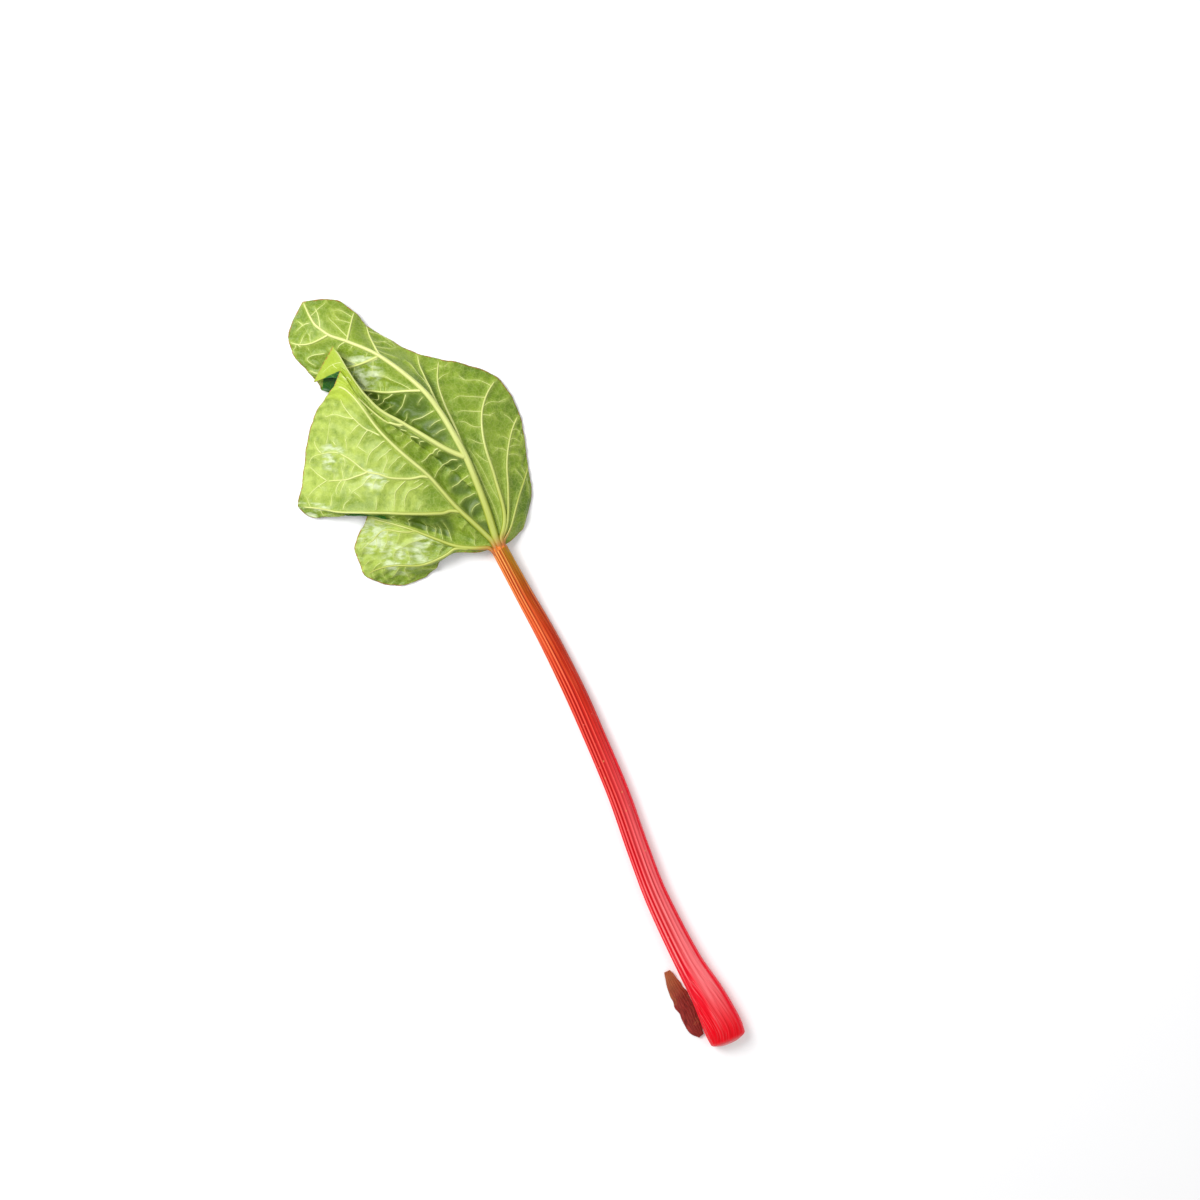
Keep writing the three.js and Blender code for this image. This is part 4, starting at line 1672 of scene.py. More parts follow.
        # how far up the ring each point lies: the finishes paint the tops lighter as a highlight and the
        # sides darker as shade
        crest = np.repeat(np.maximum(up, 0.0)[None], len(centre), 0)
        start = surface.add(
            ring.reshape(-1, 3),
            ring_faces(len(centre), around),
            0,
            skin_mm=skin.reshape(-1, 3),
            crest=crest.ravel(),
            from_stalk_mm=from_stalk.ravel(),
        )
        surface.close_ring(start, around, 0, turned=True)
        surface.close_ring(surface.count - around, around, 0)

    def midrib(self, surface: Surface, half: BladeHalf, sheet: Sheet) -> None:
        """Add the midrib, which covers the seam between the halves."""
        spokes = self.halves[Side.LEFT]
        stations = np.array([JUNCTION] + [s.route[0] for s in spokes if s.route[0] != JUNCTION], float)
        _, first = np.unique(stations, axis=0, return_index=True)
        line = Spline(np.vstack([stations[np.sort(first)], np.array(spokes[-1].route[1:], float)]))
        centre = line.even(self.step)
        first = int(self.clear_of_junction / self.step)
        lead = Spline(np.vstack([MIDRIB_APPROACH, centre[first : first + 2]])).even(self.step)[:-2]
        centre = np.vstack([lead, centre[first:]])
        share = np.linspace(0, 1, len(centre))
        normal = np.empty_like(centre)
        for i, spot in enumerate(centre):
            near = np.argmin(np.linalg.norm(sheet.points[:, 0] - spot, axis=1))
            tilted = sheet.normals[near, self.midrib_column]
            normal[i] = unit(tilted + np.array([0.0, 0.0, self.midrib_upright]))
        width = np.array([half.midrib_width(t) for t in share]) + self.midrib_extra
        to_tip = smooth((1 - share) / self.midrib_end_share)
        width = width * (self.midrib_end + (1 - self.midrib_end) * to_tip)
        width = width * self.swell(np.arange(len(centre)), self.swell_reach * len(lead))
        centre = centre + normal * self.thickness / 2
        self.rod(surface, centre, normal, width, self.midrib_tall, self.around + self.midrib_more_around)


# ---------------------------------------------------------------- the stalk


@dataclass(frozen=True)
class Ridge:
    """A ridge that runs down the stalk: its angle from the right edge, height and half-width."""

    angle: float
    height: float
    spread: float


@dataclass
class Stalk:
    """The ribbed stalk from the leaf down to the pulled base."""

    places: tuple[tuple[float, float, float, float], ...]
    nicks: tuple[Triple, ...]
    slot: str = "stalk_skin"
    node: str = "stalk"
    around: int = 200
    step: float = 1.0
    crown: float = 0.58
    flat: float = 0.35
    side_power: float = 0.85
    top_power: float = 0.9
    bottom_power: float = 0.7
    base_groove: float = 1.4
    groove_share: float = 0.2
    groove_slope: float = 2.2
    top_lift: float = 5.5
    lift_share: float = 0.16
    base_rounding: float = 5.0
    least_rounding: float = 0.3
    tall_ridge: float = 0.65
    deep_groove: float = 0.7
    base_smoothing: float = 0.55
    smooth_from: float = 0.72
    smooth_share: float = 0.2
    wander_waves: float = 9.0
    wander_degrees: float = 3.0
    wander_seed: Pair = (0.3, 1.7)
    ridge_waves: float = 7.0
    ridge_seeds: Pair = (7.3, 0.4)
    ridge_unevenness: float = 0.8
    valley_unevenness: float = 0.9
    valley_place: float = 1.6
    valley_width: float = 0.75
    end_rings: int = 3
    dent_per_mm: float = 0.3
    dent_depth: float = 0.5
    rim_bulge: float = 0.9
    middle_dent: float = 1.1
    knuckle_crest: float = 0.4
    pulled_steps: tuple[float, ...] = (0.9, 0.8, 0.65, 0.45, 0.22, 0.02)
    knuckle_steps: tuple[Pair, ...] = (
        (0.02, 7.0),
        (0.35, 6.6),
        (0.62, 5.4),
        (0.84, 3.4),
        (0.96, 1.6),
    )
    ridges: tuple[Ridge, ...] = (
        Ridge(8, 0.35, 7),
        Ridge(27, 0.45, 6),
        Ridge(48, 0.26, 5),
        Ridge(66, 0.28, 4.4),
        Ridge(84, 0.5, 4.4),
        Ridge(101, 0.72, 4.6),
        Ridge(120, 0.8, 4.8),
        Ridge(142, 0.75, 5.6),
        Ridge(165, 0.6, 6.4),
        Ridge(186, 0.4, 8),
        Ridge(354, 0.4, 8),
    )

    def build(self) -> Object:
        """Build the stalk.

        Returns:
            The object.
        """
        route = Spline(np.array([(x, y, 0.0) for x, y, _, _ in self.places]))
        length = route.length()
        rings = int(length / self.step) + 1
        u, at, size, side = swept(route, sizes_along(place[2:] for place in self.places), rings)
        angle = np.arange(self.around) / self.around * 2 * math.pi - math.pi / 2
        degrees = np.degrees(angle) % 360
        ridge, valley = self.ridged(u, degrees)
        cosine = np.cos(angle)[None]
        across, height = self.section(u, length, size, ridge, angle)
        points = at[:, None] + side[:, None] * across[..., None]
        points[..., 2] = height
        steps = np.linalg.norm(np.diff(points, axis=1), axis=-1)
        arc = np.concatenate([np.zeros((rings, 1)), np.cumsum(steps, axis=1)], axis=1)
        skin = np.stack([arc, np.repeat((u * length)[:, None], self.around, 1), 0 * arc], axis=-1)
        nick = np.zeros_like(ridge)
        for share, degree, radius in self.nicks:
            ring = np.argmin(np.abs(u - share))
            spot = points[ring, np.argmin(np.abs((degrees - degree + 180) % 360 - 180))]
            nick = np.maximum(nick, np.exp(-((np.linalg.norm(points - spot, axis=-1) / radius) ** 2)))
        surface = Surface("stalk_skin")
        surface.add(
            points.reshape(-1, 3),
            ring_faces(rings, self.around),
            0,
            skin_mm=skin.reshape(-1, 3),
            along=np.repeat(u[:, None], self.around, 1).ravel(),
            crest=np.clip(ridge / self.tall_ridge, 0, 1).ravel(),
            groove=np.clip(valley / self.deep_groove, 0, 1).ravel(),
            across=np.broadcast_to(cosine, ridge.shape).ravel(),
            nick=nick.ravel(),
        )
        self.pulled_end(surface, points)
        self.knuckle(surface, points)
        finishes = [StalkSkinFinish().material(), CutFleshFinish().material()]
        return surface.build(finishes, self.slot, self.node)

    def ridged(self, u: Array, degrees: Array) -> tuple[Array, Array]:
        """Work out the ridges and the valleys beside them.

        Args:
            u: Each ring's share of the length.
            degrees: The angle of each point in a ring.

        Returns:
            The height of the ridges and the depth of the valleys, ring by ring.
        """
        wander = noise_row(u * self.wander_waves, self.wander_seed) * self.wander_degrees
        sharp = (1.0 - self.base_smoothing * smooth((u - self.smooth_from) / self.smooth_share))[:, None]
        ridge = np.zeros((len(u), len(degrees)))
        valley = np.zeros_like(ridge)
        step, seed = self.ridge_seeds
        for index, one in enumerate(self.ridges):
            own = noise_row(u * self.ridge_waves, (index * step, seed))
            off = (degrees[None, :] - one.angle - wander[:, None] + 180) % 360 - 180
            bump = np.exp(-((off / one.spread) ** 2))
            ridge += sharp * one.height * (1 + self.ridge_unevenness * own)[:, None] * bump
            beside = (np.abs(off) - self.valley_place * one.spread) / (self.valley_width * one.spread)
            uneven = (1 + self.valley_unevenness * own)[:, None]
            valley = np.maximum(valley, sharp * one.height * uneven * np.exp(-(beside**2)))
        return ridge, valley

    def section(
        self, u: Array, length: float, size: Array, ridge: Array, angle: Array
    ) -> tuple[Array, Array]:
        """Shape the rings: domed and ridged above, pressed flat below.

        Args:
            u: Each ring's share of the length.
            length: The length of the stalk.
            size: Each ring's width and height.
            ridge: The height of the ridges.
            angle: The angle of each point in a ring.

        Returns:
            Each point's place to the side of the line, and its height.
        """
        cosine, sine = np.cos(angle)[None], np.sin(angle)[None]
        round_off = np.minimum(1.0, np.sqrt((1 - u) * length / self.base_rounding + self.least_rounding))
        lift = self.top_lift * (1 - smooth(u / self.lift_share))
        groove = self.base_groove * smooth((u - (1 - self.groove_share)) / self.groove_share)
        wide = (size[:, 0] / 2 * round_off)[:, None]
        tall = (size[:, 1] * round_off)[:, None]
        across = np.sign(cosine) * np.abs(cosine) ** self.side_power * (wide + ridge)
        below = (1 - self.crown) * tall
        up = np.where(
            sine > 0,
            np.abs(sine) ** self.top_power * (self.crown * tall + ridge),
            -(np.abs(sine) ** self.bottom_power) * below,
        )
        channel = groove[:, None] * np.maximum(0, 1 - self.groove_slope * np.abs(cosine))
        hollow = np.where(sine < 0, channel, 0.0)
        return across, np.maximum(lift[:, None] + below + up - self.flat + hollow, 0.0)

    def pulled_end(self, surface: Surface, points: Array) -> None:
        """Close the base with shrinking uneven rings."""
        last = points[-1]
        centre = last.mean(axis=0)
        along = unit(centre - points[-1 - self.end_rings].mean(axis=0))
        dent = noise_at(last, self.dent_per_mm)
        rings = [last]
        for step in self.pulled_steps:
            level = dent * step + dent.mean() * (1 - step)
            push = self.rim_bulge * (1 - step) ** 0.5 - self.middle_dent * (1 - step)
            push = push + self.dent_depth * level * (1 - step)
            rings.append(centre + (last - centre) * step + along * push[:, None])
        start = self.cap(surface, rings, 1, 1.0, 0.0)
        surface.close_ring(start + (len(rings) - 1) * self.around, self.around, 1)

    def knuckle(self, surface: Surface, points: Array) -> None:
        """Close the leaf end with a round knuckle."""
        first = points[0]
        centre = first.mean(axis=0)
        along = unit((points[self.end_rings] - first).mean(axis=0))
        rings = [centre + (first - centre) * share - along * push for share, push in self.knuckle_steps]
        start = self.cap(surface, rings + [first], 0, 0.0, self.knuckle_crest)
        surface.close_ring(start, self.around, 0, turned=True)

    def cap(self, surface: Surface, rings: list[Array], finish: int, along: float, crest: float) -> int:
        """Add the rings of an end.

        Args:
            surface: The mesh they go into.
            rings: The rings, in order towards the base.
            finish: The number of the material they take.
            along: The share of the stalk's length that the skin's colour is read at.
            crest: How much the skin's colour is that of a ridge.

        Returns:
            The number of the first point.
        """
        grid = np.array(rings)
        values = {"along": along, "crest": crest, "groove": 0.0, "across": 0.0, "nick": 0.0}
        flat = {name: np.full(len(rings) * self.around, value) for name, value in values.items()}
        faces = ring_faces(len(rings), self.around)
        return surface.add(grid.reshape(-1, 3), faces, finish, skin_mm=grid.reshape(-1, 3), **flat)


# ---------------------------------------------------------------- the dry sheath


@dataclass
class DrySheath:
    """The scrap of dry papery skin beside the base."""

    places: tuple[tuple[float, float, float, float, float], ...]
    thickness: float = 0.5
    across: int = 41
    step: float = 0.7
    slot: str = "dry_sheath"
    node: str = "dry_sheath"
    fray: float = 0.22
    fray_waves: float = 9.0
    fray_seeds: Pair = (4.0, 2.0)
    flute_depth: float = 0.28
    flute_waves: float = 19.0
    flute_sway: float = 2.0
    flute_sway_waves: float = 5.0
    curl_depth: float = 0.7
    curl_per_mm: float = 0.16
    least_height: float = 0.8
    half_arc: float = 7.0

    def build(self) -> Object:
        """Build the scale.

        Returns:
            The object.
        """
        line = Spline(np.array([place[:3] for place in self.places], float))
        length = line.length()
        rows = int(length / self.step)
        u, at, size, side = swept(line, sizes_along(place[3:] for place in self.places), rows)
        side = unit(side)
        s = np.linspace(-1, 1, self.across)
        step, seed = self.fray_seeds
        frayed = [noise_row(u * self.fray_waves, (edge * step, seed))[:, None] for edge in (0, 1)]
        wide = size[:, :1] / 2 * (1 + self.fray * np.where(s < 0, *frayed))
        points = at[:, None] + side[:, None] * (s * wide)[..., None]
        sway = self.flute_sway * np.sin(u * self.flute_sway_waves)[:, None]
        flutes = self.flute_depth * np.sin(s * self.flute_waves + sway) * (1 - s**4)
        points[..., 2] += size[:, 1:2] * (1 - s**2) + flutes
        curl = noise_at(points.reshape(-1, 3), self.curl_per_mm).reshape(points.shape[:2])
        points[..., 2] = np.maximum(points[..., 2] + self.curl_depth * curl, self.least_height)
        under = points - np.array([0, 0, self.thickness])
        ring = np.concatenate([points, under[:, ::-1]], axis=1)
        around = ring.shape[1]
        arc = np.repeat(np.concatenate([s, s[::-1]])[None] * self.half_arc, rows, 0)
        down = np.repeat((u * length)[:, None], around, 1)
        skin = np.stack([arc, down, np.zeros_like(arc)], axis=-1)
        surface = Surface("dry_sheath_scale")
        surface.add(
            ring.reshape(-1, 3),
            ring_faces(rows, around)[:, ::-1],
            0,
            skin_mm=skin.reshape(-1, 3),
            along=np.repeat(u[:, None], around, 1).ravel(),
        )
        surface.close_ring(0, around)
        surface.close_ring((rows - 1) * around, around, turned=True)
        return surface.build([DrySkinFinish().material()], self.slot, self.node)


# ---------------------------------------------------------------- the studio


@dataclass
class Studio:
    """The floor, the lights and the camera straight above."""

    eye: Triple = (0.028, 0.056, 1.6)
    lens: float = 60.0
    floor_size: float = 6.0
    key_place: Triple = (-0.9, 0.55, 1.2)
    aim: Triple = (0.0, 0.0, 0.0)
    key_size: float = 0.9
    key_power: float = 24.0
    fill_place: Triple = (0.9, 0.1, 1.5)
    fill_size: float = 1.2
    fill_power: float = 4.0
    sky: float = 0.52

    def build(self) -> None:
        """Set up the studio."""
        self.floor()
        self.light("key_light", self.key_place, self.key_size, self.key_power)
        self.light("fill_light", self.fill_place, self.fill_size, self.fill_power)
        world = bpy.data.worlds.new("studio_sky")
        world.use_nodes = True
        world.node_tree.nodes["Background"].inputs["Color"].default_value = (1.0, 1.0, 1.0, 1.0)
        world.node_tree.nodes["Background"].inputs["Strength"].default_value = self.sky
        bpy.context.scene.world = world
        bpy.context.scene.view_settings.view_transform = "Standard"
        camera = bpy.data.cameras.new("camera")
        camera.lens = self.lens
        eye = bpy.data.objects.new("camera", camera)
        eye.location = self.eye
        bpy.context.scene.collection.objects.link(eye)
        bpy.context.scene.camera = eye

    def floor(self) -> None:
        """Lay the pale floor."""
        half = self.floor_size / 2
        mesh = bpy.data.meshes.new("studio_floor")
        corners = [(-half, -half, 0.0), (half, -half, 0.0), (half, half, 0.0), (-half, half, 0.0)]
        mesh.from_pydata(corners, [], [(0, 1, 2, 3)])
        mesh.materials.append(StudioFloorFinish().material())
        made = bpy.data.objects.new("studio_floor", mesh)
        bpy.context.scene.collection.objects.link(made)

    def light(self, name: str, place: Triple, size: float, power: float) -> None:
        """Hang one soft square light.

        Args:
            name: The light's name.
            place: Where it hangs.
            size: Its side in metres.
            power: Its power in watts.
        """
        lamp = bpy.data.lights.new(name, "AREA")
        lamp.shape = "SQUARE"
        lamp.size = size
        lamp.energy = power
        made = bpy.data.objects.new(name, lamp)
        made.location = place
        made.rotation_euler = (Vector(place) - Vector(self.aim)).to_track_quat("Z", "Y").to_euler()
        bpy.context.scene.collection.objects.link(made)


# ---------------------------------------------------------------- sizes

JUNCTION = (-53, 98.5, 11)

# Stations along the midrib, where both halves of the blade share their points.
STATION = {
    "low": (-62.5, 131, 18),
    "second": (-71.5, 154.5, 22.5),
    "third": (-77.5, 168.5, 24),
    "fourth": (-86, 184.5, 25.5),
    "fifth": (-98, 204.5, 27.5),
    "sixth": (-111, 221, 28),
    "seventh": (-146, 248.5, 24),
    "eighth": (-172, 260.5, 18.5),
    "ninth": (-187, 266, 15),
    "tenth": (-192.5, 270, 13.5),
    "last": (-197.5, 274, 12.2),
}


def spoke(*route: Triple, rib: Triple | None = None) -> Spoke:
    """A spoke given by its points, and its rib if it has one."""
    return Spoke(route, rib)


TIP = spoke(
    STATION["last"], (-202, 281, 10.5), (-205.5, 287.5, 8.5), (-208.5, 293.5, 6), rib=(0, 1.8, 1),
)

# The spokes of each half, from the notch beside the stalk round to the tip.
HALVES = {
    Side.LEFT: (
        spoke(
            JUNCTION, (-69, 93.5, 12), (-83, 93.5, 13.5), (-92, 91, 10.5), (-98.5, 86.5, 7.5),
            (-103.5, 80.5, 4.5), (-111, 74.5, 1.5),
        ),
        spoke(
            JUNCTION, (-69, 94.3, 12.3), (-84, 95.7, 13.9), (-99, 86, 11), (-113.5, 79, 8),
            (-125, 74.5, 4.5), (-134, 67, 1.5),
        ),
        # lower rib of the basal lobe
        spoke(
            JUNCTION, (-69, 95.3, 12.5), (-84.5, 96.7, 14.2), (-99, 89, 13.5), (-114, 83.5, 12),
            (-136.5, 83.5, 10.5), (-152, 79.5, 6), (-160, 75, 1.5), rib=(0.27, 3.2, 1.2),
        ),
        spoke(
            JUNCTION, (-69, 95.9, 12.6), (-84.5, 97.2, 14.3), (-103.5, 95.5, 13.5), (-121.5, 95, 12),
            (-138, 93, 10.5), (-153.5, 92, 7.5), (-167, 92.5, 2),
        ),
        # fork of the basal lobe's upper rib
        spoke(
            JUNCTION, (-69, 96.4, 12.7), (-85, 97.7, 14.4), (-104, 102.5, 15), (-120, 109.5, 15.3),
            (-133, 110.5, 13.5), (-146, 108, 10), (-157, 103, 6.5), (-168, 101, 2), rib=(0.62, 2.2, 1.2),
        ),
        # upper rib of the basal lobe
        spoke(
            JUNCTION, (-69, 96.9, 12.8), (-85.5, 98.4, 14.5), (-108.5, 106.5, 15), (-127.5, 113.5, 13.5),
            (-145, 119, 10), (-158, 122.5, 6), rib=(0, 5, 1.4),
        ),
        spoke(
            JUNCTION, (-73.5, 104, 12), (-92, 111, 12), (-111, 115.5, 12.5), (-130.5, 119, 13.5),
            (-143, 122, 14), (-156.5, 126.5, 12.6),
        ),
        spoke(
            JUNCTION, (-74.3, 111.5, 15), (-94, 121, 17.8), (-103, 121, 18.8), (-119.5, 121.6, 19.5),
            (-138, 123.4, 19.6), (-157, 124.8, 18), (-180, 125.3, 12.4), (-202.5, 121.5, 2.6),
        ),
        # the low side rib, which the blade folds down from
        spoke(
            JUNCTION, (-73.7, 113.1, 16), (-88, 125.3, 20), (-101.5, 124.5, 22), (-119.5, 124, 23.5),
            (-137.5, 124.5, 24), (-156.5, 125, 22.5), (-179.5, 125.5, 17.5), (-197, 129, 9),
            (-214, 130.5, 1.5), rib=(0.22, 3.4, 1.2),
        ),
        # lower fork of the middle side rib
        spoke(
            JUNCTION, (-73.1, 113.8, 16.3), (-91.2, 128.4, 20.4), (-101, 134.5, 22), (-112, 140, 23),
            (-131, 146.5, 23.8), (-153, 151, 23), (-173, 151, 18.5), (-189, 150, 12), (-210.5, 147, 1.5),
            rib=(0.66, 2.2, 1.2),
        ),
        # middle side rib and its upper fork
        spoke(
            JUNCTION, (-72.5, 114.4, 16.4), (-90.3, 129.5, 20.6), (-99, 139, 22.7), (-109, 148.5, 24.4),
            (-122, 152.5, 24.9), (-138, 154.5, 25), (-156, 160, 23), (-174, 171, 18.5), (-189, 180.5, 12.5),
            (-206, 184, 2.5), rib=(0.42, 3, 1.3),
        ),
        spoke(
            JUNCTION, (-71.9, 115, 16.5), (-89.4, 130.5, 20.7), (-98, 140.3, 22.9), (-108, 150.5, 24.8),
            (-120.5, 160.5, 25.6), (-138, 176.5, 26.3), (-155, 191.5, 25.3), (-172, 202.5, 22),
            (-186, 208, 16.5), (-198, 206, 9),
        ),
        # the left main rib
        spoke(
            JUNCTION, (-71.3, 115.7, 16.6), (-88.4, 131.6, 20.8), (-97.2, 142, 23), (-106, 152.5, 25),
            (-131.5, 175, 27.5), (-146.5, 190.5, 28.5), (-159.5, 208.5, 29), (-169.5, 219.5, 28.5),
            (-176.5, 224, 26.5), (-183.5, 223, 21.5), rib=(0, 6, 1.4),
        ),
        # the narrow valley, and the fork on its far side
        spoke(
            STATION["low"], (-81, 150.5, 17.5), (-102, 169, 18.5), (-124, 185.5, 21.5), (-141.5, 197, 24.5),
            (-155.5, 208, 27.2), (-165.5, 220, 28.3), (-171.5, 230, 28), (-176.5, 236.5, 26.8),
            rib=(0.6, 2.2, 1.2),
        ),
        spoke(
            STATION["second"], (-91, 168.5, 22.5), (-110, 179, 23.6), (-128.5, 190, 25.5),
            (-144.5, 201, 26.6), (-152.5, 208.5, 27.6), (-163, 220.5, 28.2), (-169.5, 230.5, 28),
            (-177.5, 240, 25.5), (-189, 237.5, 17), (-200, 229, 8),
        ),
        # the left upper rib
        spoke(
            STATION["third"], (-89.5, 173, 24.5), (-106, 182, 25.5), (-126, 194, 26.5), (-148, 206.5, 27),
            (-160, 220, 27.3), (-167, 230.5, 27), (-171.5, 238, 26.5), (-177, 248, 24.5), (-182.5, 257, 22),
            rib=(0, 4.8, 1.2),
        ),
        spoke(
            STATION["fourth"], (-107.5, 190, 22.5), (-130, 202, 20), (-147.5, 212.5, 17),
            (-162.5, 221.5, 14), (-174.5, 230.5, 11.5), (-186.5, 242, 10.5), (-191.5, 240.5, 10),
        ),
        spoke(
            STATION["fifth"], (-115.5, 205, 22), (-134.5, 210.5, 16), (-154, 216, 9.5), (-170.5, 218.5, 6),
            (-182.5, 219.5, 4.6), (-194, 223, 4),
        ),
        spoke(
            STATION["sixth"], (-126, 221, 23), (-139.5, 220.5, 18), (-154, 222, 12.5), (-169.5, 224, 7.5),
            (-182.5, 225, 4.5), (-198, 229.5, 2.5), rib=(0, 2.6, 1),
        ),
        spoke(
            STATION["seventh"], (-159.5, 243.5, 17.5), (-173, 240, 12), (-185.5, 237.5, 7),
            (-197, 236.5, 4.5), (-207, 240, 2.5), rib=(0, 2.4, 1),
        ),
        spoke(
            STATION["eighth"], (-179.5, 256, 14.5), (-190, 251.5, 10), (-202.5, 248, 6), (-215, 248, 2.5),
        ),
        spoke(
            STATION["ninth"], (-194.5, 262.5, 12.5), (-203.5, 259.5, 9), (-213, 259.5, 5.5),
            (-221, 262, 2.5), rib=(0, 2, 1),
        ),
        spoke(STATION["tenth"], (-201, 270, 11), (-210, 272, 7.5), (-218.5, 277, 4)),
        TIP,
    ),
    # this half slopes away from the midrib
    Side.RIGHT: (
        spoke(JUNCTION, (-47.5, 100, 10), (-42, 103.5, 8), (-37.5, 108, 5), (-33.5, 113.5, 2)),
        spoke(JUNCTION, (-45, 106.5, 11), (-36.5, 117, 9.5), (-30, 129.5, 6.5), (-26.5, 139, 2)),
        spoke(
            JUNCTION, (-45, 109, 12), (-38.5, 131.5, 11.5), (-34, 147.5, 8), (-29.5, 163, 2),
            rib=(0, 3, 1.2),
        ),
        spoke(
            JUNCTION, (-46.5, 113, 13.5), (-45, 139, 14.5), (-46, 165.5, 12.5), (-43, 188, 8),
            (-36.5, 206, 2), rib=(0, 3.4, 1.2),
        ),
        spoke(
            JUNCTION, (-47.5, 119.5, 14.5), (-55, 151, 18), (-64, 181, 18), (-66, 203, 14.5), (-62, 220, 9),
            (-54, 234, 2), rib=(0, 5, 1.2),
        ),
        spoke(
            STATION["low"], (-66, 158, 19.5), (-76, 187, 20), (-82, 208, 17), (-84, 226, 11), (-77, 244, 2),
        ),
        spoke(STATION["second"], (-80, 182, 22), (-89, 206, 18.5), (-94, 226, 12), (-91, 247, 2)),
        spoke(
            STATION["third"], (-86, 190, 22.5), (-95, 210, 18.5), (-101, 229, 12), (-101, 248.5, 2.5),
            rib=(0, 2.8, 1),
        ),
        spoke(STATION["fourth"], (-95, 204, 22), (-103, 221, 16), (-108, 236, 9.5), (-109, 251, 2)),
        spoke(
            STATION["fifth"], (-105, 219, 22), (-111, 232, 15), (-116, 243, 8.5), (-118, 253, 2),
            rib=(0, 2.6, 1),
        ),
        spoke(STATION["sixth"], (-116, 231, 22), (-121, 241, 14.5), (-126, 250, 8), (-129, 258, 2)),
        spoke(
            STATION["seventh"], (-150, 255, 18), (-154, 262, 12), (-157, 269, 8), (-159, 276, 4),
            rib=(0, 2.2, 1),
        ),
        spoke(
            STATION["eighth"], (-171, 268, 15), (-170, 275, 11), (-169, 281, 8), (-168, 286, 5),
            rib=(0, 2, 1),
        ),
        spoke(STATION["ninth"], (-185, 274, 13), (-182.5, 282, 10), (-180.5, 289, 7), (-179.5, 294.5, 4.5)),
        spoke(STATION["tenth"], (-191, 279, 12.5), (-190.5, 287.5, 9.5), (-191, 296, 6)),
        TIP,
    ),
}

# The stalk from the leaf down to the pulled base: (x, y, width, height).
STALK_PLACES = (
    (-51.6, 95.8, 12.6, 11),
    (-31.5, 58.5, 13.8, 12),
    (-12.3, 23.5, 15.6, 13),
    (7.2, -15.5, 16.6, 14),
    (19.2, -42, 16.8, 14.2),
    (41.6, -95.5, 17, 14.6),
    (57.7, -140.5, 17.4, 15),
    (72.5, -179.5, 18.2, 15.4),
    (98, -231.5, 21.5, 16.4),
    (114.8, -260.5, 27, 17.4),
    (126, -284, 30.5, 17.8),
    (131.5, -297, 28, 15),
)

# The dry sheath from its root to its frayed end: (x, y, z, width, arch).
SHEATH_PLACES = (
    (109, -292, 2.6, 5, 0.3),
    (104.5, -286.5, 1.6, 12, 0.9),
    (98.5, -274, 1.2, 14, 1.2),
    (89, -256, 1.2, 13, 1.2),
    (81.5, -240.5, 2.6, 5, 0.3),
)


# Root and end widths of the small veins.
STRONG_VEIN = (1.4, 0.7)
MIDDLING_VEIN = (1.0, 0.45)
FINE_VEIN = (0.7, 0.35)
